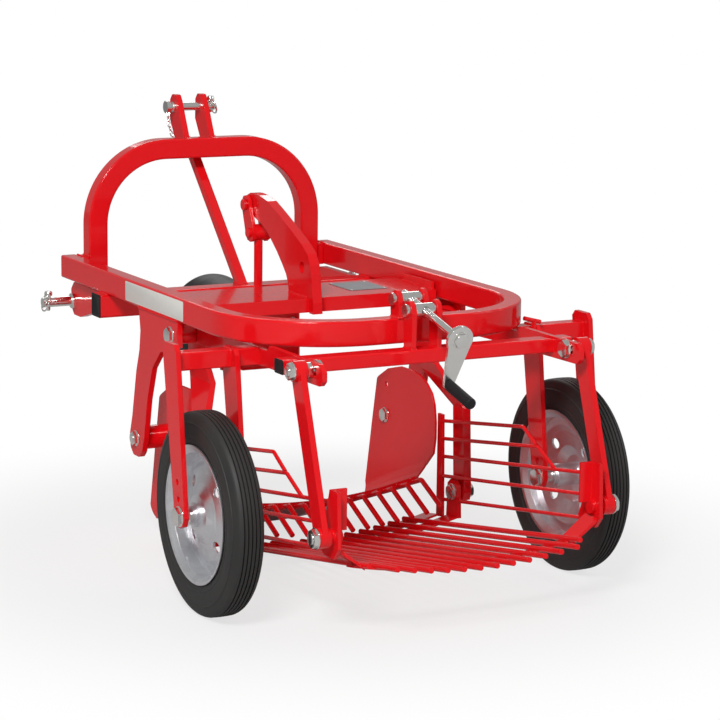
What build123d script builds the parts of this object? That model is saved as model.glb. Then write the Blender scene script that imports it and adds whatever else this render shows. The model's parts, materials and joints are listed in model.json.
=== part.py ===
"""Three-point-mounted vibrating potato digger with two depth wheels.

Frame: +Y is the direction of travel, +X the machine's right-hand side, +Z up.
The origin is on the ground under the middle of the wheel axle line.
Every dimension is in millimetres and is named before it is used.

The red frame is a U of rectangular tube, open towards the tractor.  A bent
tube arch carries the top-link ears; two pins under the rails carry the lower
links.  Two side brackets hang from the rails and hold the curved side plates,
the share and its tail fingers.  A rocking shaft behind the cross channel
shakes the sieve; its curved arm is moved by a rod from the gearbox below.
The depth frame turns on the same axis as the rocking shaft.  It carries the
two wheels in their forks and, through two leaning links, the rear of the sieve.
"""

import math
import os

from build123d import *

os.makedirs("parts", exist_ok=True)

# ------------------------------------------------------------------ wheels
TYRE_R = 200.0          # radius on the tread
TREAD_W = 42.0          # flat width of the tread
TYRE_W = 66.0           # widest section
RIM_R = 135.0           # radius of the rim lip
WHEEL_X = 406.0         # middle plane of a wheel from the centre line
AXLE_Z = TYRE_R         # wheels stand on the ground
AXLE_R = 10.0
HUB_HALF = 40.0         # half length of a wheel hub

# ------------------------------------------------------------------ U-frame
RAIL_OUT = 336.0        # outer face of a rail from the centre line
RAIL_W = 36.0
RAIL_Z0 = 520.0
RAIL_Z1 = 570.0
RAIL_IN = RAIL_OUT - RAIL_W
TUBE_EDGE_R = 4.0       # rounding of the long edges of all rectangular tubes
RAIL_FRONT = 965.0
BEND_R_OUT = 236.0      # plan radius of the rear corners
BEND_C_Y = 150.0        # centre line of the corner bends
REAR_OUT = BEND_C_Y - BEND_R_OUT
REAR_IN = REAR_OUT + RAIL_W

# ------------------------------------------------------------------ headstock
ARCH_W = 45.0           # arch tube seen from the front
ARCH_D = 40.0           # arch tube along the machine
ARCH_Y0 = 920.0
ARCH_Y1 = ARCH_Y0 + ARCH_D
ARCH_OUT = 286.0
ARCH_TOP = 826.0
ARCH_LOW = ARCH_TOP - ARCH_W
ARCH_R = 188.0          # outer radius of the arch's corners
TOP_PIN_RISE = 64.0     # top link pin above the arch
TOP_PIN_Y, TOP_PIN_Z, TOP_PIN_R = ARCH_Y1 + 55.0, ARCH_TOP + TOP_PIN_RISE, 9.5
EAR_IN = 25.0           # half the gap between the top-link ears
EAR_T = 13.0
EAR_OUT = EAR_IN + EAR_T
BRACE_W = 20.0          # square bar from the ears down to the hitch tube

# ------------------------------------------------------------------ lower hitch
HITCH_Y0, HITCH_Y1 = 689.0, 739.0
HITCH_Z0, HITCH_Z1 = 470.0, RAIL_Z0
HITCH_X = 352.0
LOW_PIN_Y, LOW_PIN_Z, LOW_PIN_R = 930.0, 471.0, 11.0
LOW_PLATE_IN, LOW_PLATE_OUT = 300.0, 317.0
LOW_PIN_END = 395.0

# ------------------------------------------------------------------ cross channel
CH_Y0, CH_Y1 = 367.0, 550.0
CH_Z0, CH_Z1 = 510.0, 540.0
CH_T = 6.0
CH_X = 294.0            # half length, clear of the rails

# ------------------------------------------------------------------ rocking shaft and depth frame axis
AXIS_Y, AXIS_Z = 349.0, 487.5
HUB_R = 20.0
AXIS_PIN_R = 9.0
LEVER_TOP_IN, LEVER_TOP_OUT = 256.0, 268.0   # upper part of a shaking lever
LEVER_Y, LEVER_Z = 258.0, 118.0      # bolt at the foot of a shaking lever
LEVER_IN, LEVER_OUT = 296.0, 314.0   # lower leg of a lever
LEVER_BEND_Z0, LEVER_BEND_Z1 = 300.0, 390.0   # the jog between leg and upper part
ARM_PIN_Y, ARM_PIN_Z, ARM_PIN_R = 665.0, 704.0, 8.0
ROD_PIN_Y, ROD_PIN_Z = 643.0, 645.0
ARM_T = 22.0

# ------------------------------------------------------------------ side brackets and share
BR_IN, BR_OUT = 324.0, 336.0
PIVOT_Y, PIVOT_Z = 531.5, 236.4      # bolt through bracket, spacer and side plate
SIDE_IN, SIDE_OUT = 261.0, 266.0     # side plates
SHARE_TIP_Y, SHARE_CORNER_Y, SHARE_REAR_Y = 636.0, 580.0, 372.0
SHARE_REAR_TOP = 101.5               # upper face of the share at its rear edge, on the centre line
SHARE_SLOPE = 0.377
SHARE_T = 12.0
ROLL_H = 28.0                        # height of the side plates' lower band, which rolls onto the share
ROLL_R, ROLL_TURN = 62.0, 36.0        # outer radius and angle of that roll
FINGER_R = 5.5
FINGER_BEND_Y, FINGER_BEND_Z = 336.0, 103.0
FINGER_END_Y, FINGER_END_Z = 245.0, 61.0

# ------------------------------------------------------------------ depth frame
SIDE_ARM_IN, SIDE_ARM_OUT = 275.0, 285.0
BAR_Y0, BAR_Y1 = 33.0, 68.0          # wheel bar, square
BAR_Z0, BAR_Z1 = 476.0, 511.0
REARBAR_Y0, REARBAR_Y1 = -145.0, -105.0
REARBAR_Z0, REARBAR_Z1 = 489.0, 517.0
FORK_T = 10.0
FORK_GAP_IN, FORK_GAP_OUT = 28.0, 19.0   # between a tyre's side and the fork's legs
FORK_OUT0 = WHEEL_X + TYRE_W / 2 + FORK_GAP_OUT
FORK_OUT1 = FORK_OUT0 + FORK_T
FORK_IN1 = WHEEL_X - TYRE_W / 2 - FORK_GAP_IN
FORK_IN0 = FORK_IN1 - FORK_T
FORK_LEAN = 45 / 310                 # how far a leg leans forward over its height
LINK_Y1, LINK_Z1 = -190.0, 505.0     # upper pivot of a rear link
LINK_Y0, LINK_Z0 = -293.0, 210.0     # lower pivot of a rear link
LINK_IN, LINK_OUT = 304.0, 316.0     # flat bar of a rear link
LINK_W = 40.0
LINK_PIN_R = 8.0

# ------------------------------------------------------------------ depth screw
NUT_F_RISE, NUT_R_RISE = 36.0, 75.0  # trunnions above the bars that carry their lugs
NUT_F_Y, NUT_F_Z = -70.0, RAIL_Z1 + NUT_F_RISE                      # front trunnion, on the U-frame
NUT_R_Y, NUT_R_Z = (REARBAR_Y0 + REARBAR_Y1) / 2, REARBAR_Z1 + NUT_R_RISE   # rear one, on the depth frame
SCREW_X = -11.0
SCREW_R = 7.5
SCREW_GAP = 1.3         # play round the screw in its nut, which lets it swing
LUG_PIN_R = 8.0
SCREW_REACH = 200.0                  # front trunnion to crank plate
CRANK_T, CRANK_ARM = 8.0, 92.0       # crank plate, and its grip's distance from the screw
GRIP_R, GRIP_LENGTH = 11.0, 88.0

# ------------------------------------------------------------------ sieve
FENCE_X = 285.0         # middle plane of a side fence
LEFT_ROD_X = 278.0      # the left fence's rods sit against the inside of their posts
FENCE_R = 4.0
FENCE_IN = FENCE_X - FENCE_R
FENCE_OUT = FENCE_X + FENCE_R
ROD_R = 5.5
ROD_N = 14
ROD_STEP = 35.4         # spacing of the floor rods and of the tail fingers between them
ROD_X = ROD_STEP * (ROD_N - 1) / 2
FLOOR_Y0, FLOOR_Z0 = 380.0, 12.0     # front end of a floor rod on the centre line
FLOOR_Y1, FLOOR_Z1 = -377.0, 140.0   # rear end
SIDE_ROD_Y1 = -331.0                 # rear end of the two outermost rods
DISH_R = 1110.0         # radius of the dish of share and floor, seen from the front
STRIP_T = 5.0           # cross bars under the rods

# ------------------------------------------------------------------ input shaft
SHAFT_Z = 411.0
BOSS_Y1 = 684.0         # front face of the gearbox boss
SHAFT_Y1 = 800.0
SPLINE_TIP_R = 17.4     # power take-off profile of 1 3/8 inch with 6 splines
SPLINE_ROOT_R = 14.8
SPLINE_LENGTH = 78.0

# ------------------------------------------------------------------ fits
BORE_GAP = 0.1          # radial play of a turning bore on its pin
RUN_GAP = 0.5           # play between turning faces on one pin


# =================================================================== helpers
def put(name, solid):
    """Write one node."""
    if isinstance(solid, (list, ShapeList)):
        solid = solid[0] if len(solid) == 1 else Compound(children=list(solid))
    export_step(solid, f"parts/{name}.step")


def box(x0, x1, y0, y1, z0, z1):
    return Pos((x0 + x1) / 2, (y0 + y1) / 2, (z0 + z1) / 2) * Box(
        abs(x1 - x0), abs(y1 - y0), abs(z1 - z0)
    )


def rod_x(y, z, r, x0, x1):
    return Pos((x0 + x1) / 2, y, z) * Rot(0, 90, 0) * Cylinder(r, abs(x1 - x0))


def rod_y(x, z, r, y0, y1):
    return Pos(x, (y0 + y1) / 2, z) * Rot(90, 0, 0) * Cylinder(r, abs(y1 - y0))


def rod_z(x, y, r, z0, z1):
    return Pos(x, y, (z0 + z1) / 2) * Cylinder(r, abs(z1 - z0))


def rod_between(p, q, r):
    """Round rod from p to q."""
    p, q = Vector(*p), Vector(*q)
    d = q - p
    plane = Plane(origin=p, z_dir=d.normalized())
    return extrude(plane * Circle(r), d.length)


def bent_rod(points, r, bend):
    """Round rod along points, with bends of one radius."""
    line = Polyline(*[Vector(*p) for p in points])
    if len(points) > 2:
        line = FilletPolyline(*[Vector(*p) for p in points], radius=bend)
    start = line.location_at(0)
    return sweep(Plane(origin=line @ 0, z_dir=line % 0) * Circle(r), path=line)


def yz_plate(points, x0, x1, round_at=None, r=0.0):
    """Plate with the outline (y, z) between two x planes."""
    face = Plane.YZ * make_face(Polyline(*points, close=True))
    lo, hi = min(x0, x1), max(x0, x1)
    solid = extrude(Pos(lo, 0, 0) * face, hi - lo, dir=(1, 0, 0))
    if round_at:
        edges = []
        for e in solid.edges().filter_by(Axis.X):
            c = e.center()
            if any(math.hypot(c.Y - a, c.Z - b) < 0.5 for a, b in round_at):
                edges.append(e)
        solid = fillet(edges, r)
    return solid


def dish(x):
    """Height that the dished share and floor gain at x from the centre line."""
    return x * x / (2 * DISH_R)


def dished_band(half, z, t):
    """Face in the XZ plane: a band t thick, dished, with its top at height z on the centre line."""
    side = z + dish(half)
    arcs = [ThreePointArc((-half, side - d), (0, z - d), (half, side - d)) for d in (0, t)]
    ends = [Line((x, side), (x, side - t)) for x in (-half, half)]
    return Plane.XZ * make_face(arcs + ends)


def frustum(lo, hi):
    """Solid between two axis-parallel rectangles (x0, x1, y0, y1, z)."""
    def ring(v):
        x0, x1, y0, y1, z = v
        return [Vector(x0, y0, z), Vector(x1, y0, z), Vector(x1, y1, z), Vector(x0, y1, z)]
    a, b = ring(lo), ring(hi)
    quads = [a, b] + [[a[i], a[(i + 1) % 4], b[(i + 1) % 4], b[i]] for i in range(4)]
    faces = [make_face(Polyline(*q, close=True)) for q in quads]
    return Solid(Shell([f.faces()[0] for f in faces]))


SIDES = (("left", -1), ("right", 1))
LUGS = (("left", -44, -34), ("right", 12, 22))     # side, and the two faces of a screw lug


def lug(x0, x1, y, foot, z):
    """Upright lug with a rounded head, standing on a tube at height foot."""
    head = [(y + 18, z - 4), (y + 12, z + 12), (y, z + 18), (y - 12, z + 12), (y - 18, z - 4)]
    plate = yz_plate([(y - 16, foot), (y + 16, foot)] + head, x0, x1, round_at=head, r=5)
    return plate - rod_x(y, z, LUG_PIN_R + BORE_GAP, x0 - 2, x1 + 2)


# =================================================================== U-frame
def u_frame():
    def half_outline(out, rear, r, front):
        sk = Rectangle(2 * out, front - rear)
        sk = Pos(0, (front + rear) / 2) * sk
        low = [v for v in sk.vertices() if v.Y < 0]
        return fillet(low, r)

    outer = half_outline(RAIL_OUT, REAR_OUT, BEND_R_OUT, RAIL_FRONT)
    inner = half_outline(RAIL_IN, REAR_IN, BEND_R_OUT - RAIL_W, RAIL_FRONT + 50)
    solid = extrude(Pos(0, 0, RAIL_Z0) * (outer - inner), RAIL_Z1 - RAIL_Z0)
    rail_middle = (RAIL_Z0 + RAIL_Z1) / 2
    long_edges = [e for e in solid.edges() if e.length > 60 and abs(e.center().Z - rail_middle) > 5]
    solid = fillet(long_edges, TUBE_EDGE_R)
    for _, x0, x1 in LUGS:
        solid += lug(x0, x1, NUT_F_Y, RAIL_Z1 - 0.5, NUT_F_Z)
    return solid


put("main_u_frame", u_frame())


# =================================================================== headstock
def arch():
    def outline(out, top, r):
        sk = Pos(0, (top + RAIL_Z0) / 2) * Rectangle(2 * out, top - RAIL_Z0)
        high = [v for v in sk.vertices() if v.Y > RAIL_Z0 + 1]
        return fillet(high, r)

    outer = outline(ARCH_OUT, ARCH_TOP, ARCH_R)
    inner = Pos(0, -10) * outline(ARCH_OUT - ARCH_W, ARCH_LOW + 10, ARCH_R - ARCH_W)
    face = Plane.XZ * (outer - inner)
    solid = extrude(Pos(0, ARCH_Y1, 0) * face, ARCH_D, dir=(0, -1, 0))
    tube_middle = (ARCH_Y0 + ARCH_Y1) / 2
    long_edges = [e for e in solid.edges()
                  if e.length > 60 and e.geom_type in (GeomType.LINE, GeomType.CIRCLE)
                  and abs(e.center().Y - tube_middle) > 5]
    solid = fillet(long_edges, TUBE_EDGE_R)
    # welded spacers between the legs and the rails
    for _, s in SIDES:
        solid += box(s * ARCH_OUT, s * RAIL_IN, ARCH_Y0, ARCH_Y1, RAIL_Z0, RAIL_Z1)
    return solid


put("headstock_arch", arch())

for side, s in SIDES:
    crown = [(TOP_PIN_Y - 15, TOP_PIN_Z + 15), (TOP_PIN_Y - 5, TOP_PIN_Z + 28),
             (TOP_PIN_Y + 14, TOP_PIN_Z + 28), (TOP_PIN_Y + 26, TOP_PIN_Z + 15)]
    ear = yz_plate(
        [(ARCH_Y1, ARCH_LOW), (ARCH_Y1, ARCH_TOP)] + crown
        + [(TOP_PIN_Y + 27, TOP_PIN_Z - 30), (TOP_PIN_Y, ARCH_TOP - 6), (ARCH_Y1 + 42, ARCH_LOW)],
        s * EAR_IN, s * EAR_OUT, round_at=crown, r=8,
    )
    ear -= rod_x(TOP_PIN_Y, TOP_PIN_Z, TOP_PIN_R, s * (EAR_IN - 2), s * (EAR_OUT + 2))
    put(f"top_link_ear_{side}", ear)

top_pin = rod_x(TOP_PIN_Y, TOP_PIN_Z, TOP_PIN_R, -EAR_OUT - 23, EAR_OUT + 24)
top_pin += rod_x(TOP_PIN_Y, TOP_PIN_Z, 14, -EAR_OUT - 23, -EAR_OUT - 15)
top_pin += rod_x(TOP_PIN_Y, TOP_PIN_Z, 12, -EAR_OUT - 6, -EAR_OUT)
top_pin -= rod_z(EAR_OUT + 14, TOP_PIN_Y, 4, TOP_PIN_Z - 20, TOP_PIN_Z + 20)
put("top_link_pin", top_pin)

# the brace leans at 45 degrees from a web between the ears to the hitch tube
brace_half = BRACE_W / math.sqrt(2)
foot_y = (HITCH_Y0 + HITCH_Y1) / 2 + 19
top_y = foot_y + ARCH_LOW + 4 - HITCH_Z1
brace = yz_plate([(foot_y - brace_half, HITCH_Z1), (foot_y + brace_half, HITCH_Z1),
                  (top_y + brace_half, ARCH_LOW + 4), (top_y - brace_half, ARCH_LOW + 4)],
                 -BRACE_W / 2, BRACE_W / 2)
brace += box(-EAR_IN, EAR_IN, ARCH_Y1, top_y + brace_half, ARCH_LOW, ARCH_LOW + 25)
put("mast_brace", brace)

# =================================================================== lower hitch
cross_tube = box(-HITCH_X, HITCH_X, HITCH_Y0, HITCH_Y1, HITCH_Z0, HITCH_Z1)
put("hitch_cross_tube", fillet(cross_tube.edges().filter_by(Axis.X), TUBE_EDGE_R))
for side, s in SIDES:
    nose = [(LOW_PIN_Y + 8, LOW_PIN_Z + 41), (LOW_PIN_Y + 25, LOW_PIN_Z + 24),
            (LOW_PIN_Y + 25, LOW_PIN_Z - 16), (LOW_PIN_Y + 8, LOW_PIN_Z - 33)]
    plate = yz_plate(
        [(HITCH_Y1, HITCH_Z0 + 2), (HITCH_Y1, LOW_PIN_Z + 41)] + nose
        + [(LOW_PIN_Y - 30, LOW_PIN_Z - 33), (HITCH_Y1 + 81, HITCH_Z0 - 10)],
        s * LOW_PLATE_IN, s * LOW_PLATE_OUT, round_at=nose, r=6,
    )
    plate -= rod_x(LOW_PIN_Y, LOW_PIN_Z, LOW_PIN_R, s * 290, s * 330)
    put(f"hitch_bracket_{side}", plate)
    pin = rod_x(LOW_PIN_Y, LOW_PIN_Z, LOW_PIN_R, s * 292, s * LOW_PIN_END)
    pin += rod_x(LOW_PIN_Y, LOW_PIN_Z, 17, s * LOW_PLATE_OUT, s * 327)
    pin += rod_x(LOW_PIN_Y, LOW_PIN_Z, 18, s * 286, s * LOW_PLATE_IN)
    pin -= rod_z(s * 381, LOW_PIN_Y, 4.5, LOW_PIN_Z - 20, LOW_PIN_Z + 20)
    put(f"lower_link_pin_{side}", pin)

# =================================================================== rocking channel, hubs, levers and arm
channel = box(-CH_X, CH_X, CH_Y0, CH_Y1, CH_Z1 - CH_T, CH_Z1)
channel += box(-CH_X, CH_X, CH_Y0, CH_Y0 + CH_T, CH_Z0, CH_Z1)
channel += box(-CH_X, CH_X, CH_Y1 - CH_T, CH_Y1, CH_Z0, CH_Z1)
for _, s in SIDES:
    channel += box(s * (CH_X - 6), s * CH_X, 376, 510, CH_Z0 + 7, CH_Z1 + 16)
    # gusset from the channel's end down to the hub
    channel += yz_plate([(AXIS_Y, AXIS_Z + 12), (AXIS_Y + 14, AXIS_Z - 12), (AXIS_Y + 30, AXIS_Z - 10),
                         (470, CH_Z0), (470, CH_Z1 - 2), (CH_Y0 + 1, CH_Z1 - 2), (CH_Y0 - 2, CH_Z0)],
                        s * (CH_X - 6), s * CH_X)
    channel += rod_x(AXIS_Y, AXIS_Z, HUB_R, s * (SIDE_ARM_OUT + RUN_GAP), s * (BR_IN - RUN_GAP))
    channel -= rod_x(AXIS_Y, AXIS_Z, AXIS_PIN_R + BORE_GAP, s * 200, s * 400)
put("cross_channel", channel)

for side, s in SIDES:
    pin = rod_x(AXIS_Y, AXIS_Z, AXIS_PIN_R, s * (LEVER_TOP_IN - 6), s * (BR_OUT + 9))
    pin += rod_x(AXIS_Y, AXIS_Z, 14, s * BR_OUT, s * (BR_OUT + 9))
    put(f"frame_axis_pin_{side}", pin)

# outline of the curved arm: its foot, its lower edge, the head round the pin, its upper edge
ARM = [
    (AXIS_Y, 508), (CH_Y0, 508), (CH_Y0, CH_Z1), (468, CH_Z1),
    (471, 558), (481, 576), (501, 596), (526, 618), (551, 637), (577, 655), (610, 670), (648, 681),
    (668, 680), (684, 690), (689, 706), (682, 722), (662, 730), (644, 731),
    (615, 729), (575, 721), (530, 703), (457, 672), (409, 650), (380, 632), (365, 610), (360, 590),
    (356, 562), (350, 531),
]
arm = yz_plate(ARM, -ARM_T / 2, ARM_T / 2)
arm -= rod_x(405, 600, 12, -20, 20)
arm += (rod_x(ARM_PIN_Y, ARM_PIN_Z, ARM_PIN_R, -28, 28) + rod_x(ARM_PIN_Y, ARM_PIN_Z, 12, -28, -22)
        + rod_x(ARM_PIN_Y, ARM_PIN_Z, 12, 22, 28))
put("rocker_arm", arm)

for side, s in SIDES:
    x0, x1 = s * LEVER_TOP_IN, s * LEVER_TOP_OUT
    # flat upper part inside the channel, a jog outwards past the fences, and a straight leg
    upper = yz_plate([(CH_Y0 + CH_T, CH_Z1 - CH_T), (412, CH_Z1 - CH_T), (414, 430), (404, LEVER_BEND_Z1),
                      (300, LEVER_BEND_Z1), (328, 424), (330, 500), (345, CH_Z0 - 1),
                      (CH_Y0 + CH_T, CH_Z0 - 1)], x0, x1)
    low_x0, low_x1 = sorted((s * LEVER_IN, s * LEVER_OUT))
    jog = frustum((low_x0, low_x1, 245, 289, LEVER_BEND_Z0),
                  (min(x0, x1), max(x0, x1), 300, 404, LEVER_BEND_Z1))
    leg = yz_plate([(245, LEVER_BEND_Z0), (289, LEVER_BEND_Z0), (LEVER_Y + 23, LEVER_Z),
                    (LEVER_Y + 18, LEVER_Z - 17), (LEVER_Y, LEVER_Z - 23),
                    (LEVER_Y - 18, LEVER_Z - 17), (LEVER_Y - 23, LEVER_Z)],
                   s * LEVER_IN, s * LEVER_OUT)
    lever = upper + jog + leg
    lever -= rod_x(AXIS_Y, AXIS_Z, AXIS_PIN_R + BORE_GAP, s * 250, s * 280)
    lever -= rod_x(LEVER_Y, LEVER_Z, LINK_PIN_R + BORE_GAP, s * 290, s * 320)
    put(f"shaking_lever_{side}", lever)

# =================================================================== side brackets
for side, s in SIDES:
    outline = [
        (313, RAIL_Z0), (516, RAIL_Z0), (507, 472), (513, 429), (530, 383), (553, 282), (567, 240),
        (563, 212), (547, 198), (516, 198), (501, 212), (489, 245), (471, 330), (444, 402), (401, 443),
        (313, 466),
    ]
    plate = yz_plate(outline, s * BR_IN, s * BR_OUT,
                     round_at=[(567, 240), (563, 212), (547, 198), (516, 198), (501, 212), (444, 402)], r=12)
    plate -= rod_x(AXIS_Y, AXIS_Z, AXIS_PIN_R, s * 320, s * 340)
    plate -= rod_x(PIVOT_Y, PIVOT_Z, 8, s * 320, s * 340)
    put(f"side_bracket_{side}", plate)
    bolt = rod_x(PIVOT_Y, PIVOT_Z, 25, s * SIDE_OUT, s * BR_IN)
    bolt += rod_x(PIVOT_Y, PIVOT_Z, 8, s * (SIDE_IN - 8), s * (BR_OUT + 12))
    bolt += rod_x(PIVOT_Y, PIVOT_Z, 13, s * BR_OUT, s * (BR_OUT + 9))
    bolt += rod_x(PIVOT_Y, PIVOT_Z, 13, s * (SIDE_IN - 8), s * SIDE_IN)
    put(f"side_plate_spacer_{side}", bolt)

# =================================================================== share, side plates, tail fingers
def share_top(x, y):
    """Height of the share's upper face."""
    return SHARE_REAR_TOP - SHARE_SLOPE * (y - SHARE_REAR_Y) + dish(x)


band = Pos(0, SHARE_REAR_Y, 0) * dished_band(SIDE_IN, SHARE_REAR_TOP, SHARE_T)
share = extrude(band, 320, dir=Vector(0, 1, -SHARE_SLOPE).normalized())
blade = make_face(Polyline((-SIDE_IN, SHARE_REAR_Y), (SIDE_IN, SHARE_REAR_Y), (SIDE_IN, SHARE_CORNER_Y),
                           (0, SHARE_TIP_Y), (-SIDE_IN, SHARE_CORNER_Y), close=True))
share &= extrude(blade, 200)
# bent fingers behind the share; each hangs between two floor rods of the sieve
for i in range(ROD_N + 1):
    x = ROD_STEP * (i - ROD_N / 2)
    root = share_top(x, SHARE_REAR_Y + 10) - SHARE_T + 1
    share += bent_rod([(x, SHARE_REAR_Y + 10, root), (x, FINGER_BEND_Y, FINGER_BEND_Z + dish(x)),
                       (x, FINGER_END_Y, FINGER_END_Z + dish(x))], FINGER_R, 14)
put("share", share)


def side_plate(s):
    """Flat upper part, and a lower band rolled inwards onto the share."""
    ya, yb, yc = 622.0, SHARE_REAR_Y, SHARE_REAR_Y - ROLL_H
    za, zb = share_top(SIDE_IN, ya), share_top(SIDE_IN, yb)
    flat = yz_plate(
        [(ya, za + ROLL_H), (593, 212), (572, 312), (566, 318), (521, 343), (465, 357), (420, 358),
         (375, 353), (345, 340), (322, 322), (310, 299), (304, 262), (304, 226), (311, 192),
         (yc, zb + ROLL_H), (yb, zb + ROLL_H)],
        s * SIDE_IN, s * SIDE_OUT,
        round_at=[(521, 343), (375, 353), (345, 340), (322, 322), (310, 299)], r=10,
    )
    run = Vector(0, yc - ya, share_top(SIDE_IN, yc) - za)
    start = Vector(s * SIDE_OUT, ya, za + ROLL_H)
    plane = Plane(origin=start, x_dir=Vector(-s, 0, 0), z_dir=run.normalized())
    up = 1 if plane.y_dir.Z > 0 else -1
    r_out, r_in = ROLL_R, ROLL_R - (SIDE_OUT - SIDE_IN)
    turn = math.radians(ROLL_TURN)

    def on_roll(r, a):
        return (r_out - r * math.cos(a), -up * r * math.sin(a))

    outer = ThreePointArc(on_roll(r_out, 0), on_roll(r_out, turn / 2), on_roll(r_out, turn))
    inner = ThreePointArc(on_roll(r_in, 0), on_roll(r_in, turn / 2), on_roll(r_in, turn))
    roll = extrude(plane * make_face([outer, inner, Line(on_roll(r_out, 0), on_roll(r_in, 0)),
                                      Line(on_roll(r_out, turn), on_roll(r_in, turn))]), run.length)
    # the band ends beside the share's edge, and its rear end is cut back at an angle
    keep = yz_plate([(ya, za - 8), (ya, 400), (yc, 400), (yc, zb + ROLL_H), (yb, zb - 8)], -400, 400)
    flat += roll & keep
    flat -= share
    flat -= rod_x(PIVOT_Y, PIVOT_Z, 8, s * 250, s * 280)
    flat -= rod_x(527, 306, 6, s * 250, s * 280)
    return flat


for side, s in SIDES:
    put(f"side_plate_{side}", side_plate(s))

# =================================================================== gearbox, guard, power take-off
GEAR_HALF = 72.0        # half width of the gear case
gear = fillet(box(-GEAR_HALF, GEAR_HALF, 575, 675, 352, HITCH_Z0 + 12).edges(), 9)
gear += rod_z(0, ROD_PIN_Y, 26, HITCH_Z0 + 5, HITCH_Z0 + 22)
gear -= box(-15, 15, ROD_PIN_Y - 17, ROD_PIN_Y + 17, 415, HITCH_Z0 + 40)
gear += rod_y(0, SHAFT_Z, 45, 660, BOSS_Y1)
for side, s in SIDES:
    gear += yz_plate([(600, 362), (674, 362), (680, HITCH_Z0 - 20), (HITCH_Y0, HITCH_Z0 - 5),
                      (HITCH_Y0, HITCH_Z0 + 30), (655, HITCH_Z0 + 10), (600, 440)],
                     s * GEAR_HALF, s * (GEAR_HALF + 10))
put("gearbox", gear)


def guard():
    """Ribbed bell around the input shaft, open to the front."""
    wall = 3.0
    # distance from the gearbox boss, and radius
    ribs = [(0, 60), (6, 76), (21, 78), (28, 82), (44, 82), (52, 87), (68, 88), (78, 92), (116, 96),
            (176, 104), (211, 107)]
    outer = [(BOSS_Y1 + along, r) for along, r in ribs]
    inner = [(y, r - wall) for y, r in reversed(outer)]
    inner[-1] = (BOSS_Y1, 45)
    prof = make_face(Polyline(*[(r, y) for y, r in outer + inner], close=True))
    solid = revolve(prof, Axis.Y, 360)
    solid = Pos(0, 0, SHAFT_Z) * solid
    return solid - box(-400, 400, HITCH_Y0 - 1, HITCH_Y1 + 1, HITCH_Z0, 700)


put("shaft_guard", guard())

shaft_y0 = BOSS_Y1 + RUN_GAP
shaft = rod_y(0, SHAFT_Z, SPLINE_ROOT_R, shaft_y0, SHAFT_Y1) + rod_y(0, SHAFT_Z, 24, shaft_y0, BOSS_Y1 + 8)
shaft += rod_y(0, SHAFT_Z, SPLINE_TIP_R, shaft_y0, SHAFT_Y1 - SPLINE_LENGTH)
for i in range(6):
    mid_r = (SPLINE_ROOT_R - 2 + SPLINE_TIP_R) / 2
    tooth = Box(SPLINE_TIP_R - SPLINE_ROOT_R + 2, SPLINE_LENGTH, 8.6)
    shaft += Pos(0, 0, SHAFT_Z) * Rot(0, 60 * i, 0) * Pos(mid_r, SHAFT_Y1 - SPLINE_LENGTH / 2, 0) * tooth
# the groove that holds the drive shaft's lock, cut a little below the spline roots
groove_y0, groove_y1 = SHAFT_Y1 - 32, SHAFT_Y1 - 24
shaft -= (rod_y(0, SHAFT_Z, SPLINE_TIP_R + 2, groove_y0, groove_y1)
          - rod_y(0, SHAFT_Z, SPLINE_ROOT_R - 0.7, groove_y0 - 1, groove_y1 + 1))
put("input_shaft", shaft)

# =================================================================== drive rod
drive = rod_z(0, ROD_PIN_Y, 9.5, 428, ROD_PIN_Z - 8) + rod_x(ROD_PIN_Y, ROD_PIN_Z, 18, -13, 13)
drive += (rod_x(ROD_PIN_Y, ROD_PIN_Z, 7, -27, 27) + rod_x(ROD_PIN_Y, ROD_PIN_Z, 11, -27, -21)
          + rod_x(ROD_PIN_Y, ROD_PIN_Z, 11, 21, 27))
for side, s in SIDES:
    # a short link with a round head at each of its two pins
    link = yz_plate([(ARM_PIN_Y - 20, ARM_PIN_Z - 4), (ARM_PIN_Y - 16, ARM_PIN_Z + 11),
                     (ARM_PIN_Y - 3, ARM_PIN_Z + 21), (ARM_PIN_Y + 12, ARM_PIN_Z + 18),
                     (ARM_PIN_Y + 21, ARM_PIN_Z + 4), (ARM_PIN_Y + 19, ARM_PIN_Z - 7),
                     (ROD_PIN_Y + 21, ROD_PIN_Z - 5), (ROD_PIN_Y + 12, ROD_PIN_Z - 17),
                     (ROD_PIN_Y - 3, ROD_PIN_Z - 20), (ROD_PIN_Y - 16, ROD_PIN_Z - 13),
                     (ROD_PIN_Y - 19, ROD_PIN_Z), (ROD_PIN_Y - 16, ROD_PIN_Z + 10)], s * 13, s * 21)
    link -= rod_x(ARM_PIN_Y, ARM_PIN_Z, ARM_PIN_R, s * 10, s * 25)
    drive += link
put("drive_rod", drive)

# =================================================================== depth screw on the U-frame
screw_line = Vector(0, NUT_R_Y - NUT_F_Y, NUT_R_Z - NUT_F_Z).normalized()
pivot = Vector(SCREW_X, NUT_F_Y, NUT_F_Z)
trunnion = rod_x(NUT_F_Y, NUT_F_Z, 12, SCREW_X - 22, SCREW_X + 22) + rod_x(NUT_F_Y, NUT_F_Z, 8, -52, 26)
trunnion += rod_x(NUT_F_Y, NUT_F_Z, 12, -52, -45)
trunnion += rod_between(tuple(pivot - screw_line * 24), tuple(pivot + screw_line * SCREW_REACH), SCREW_R)
put("depth_screw", trunnion)

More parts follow.
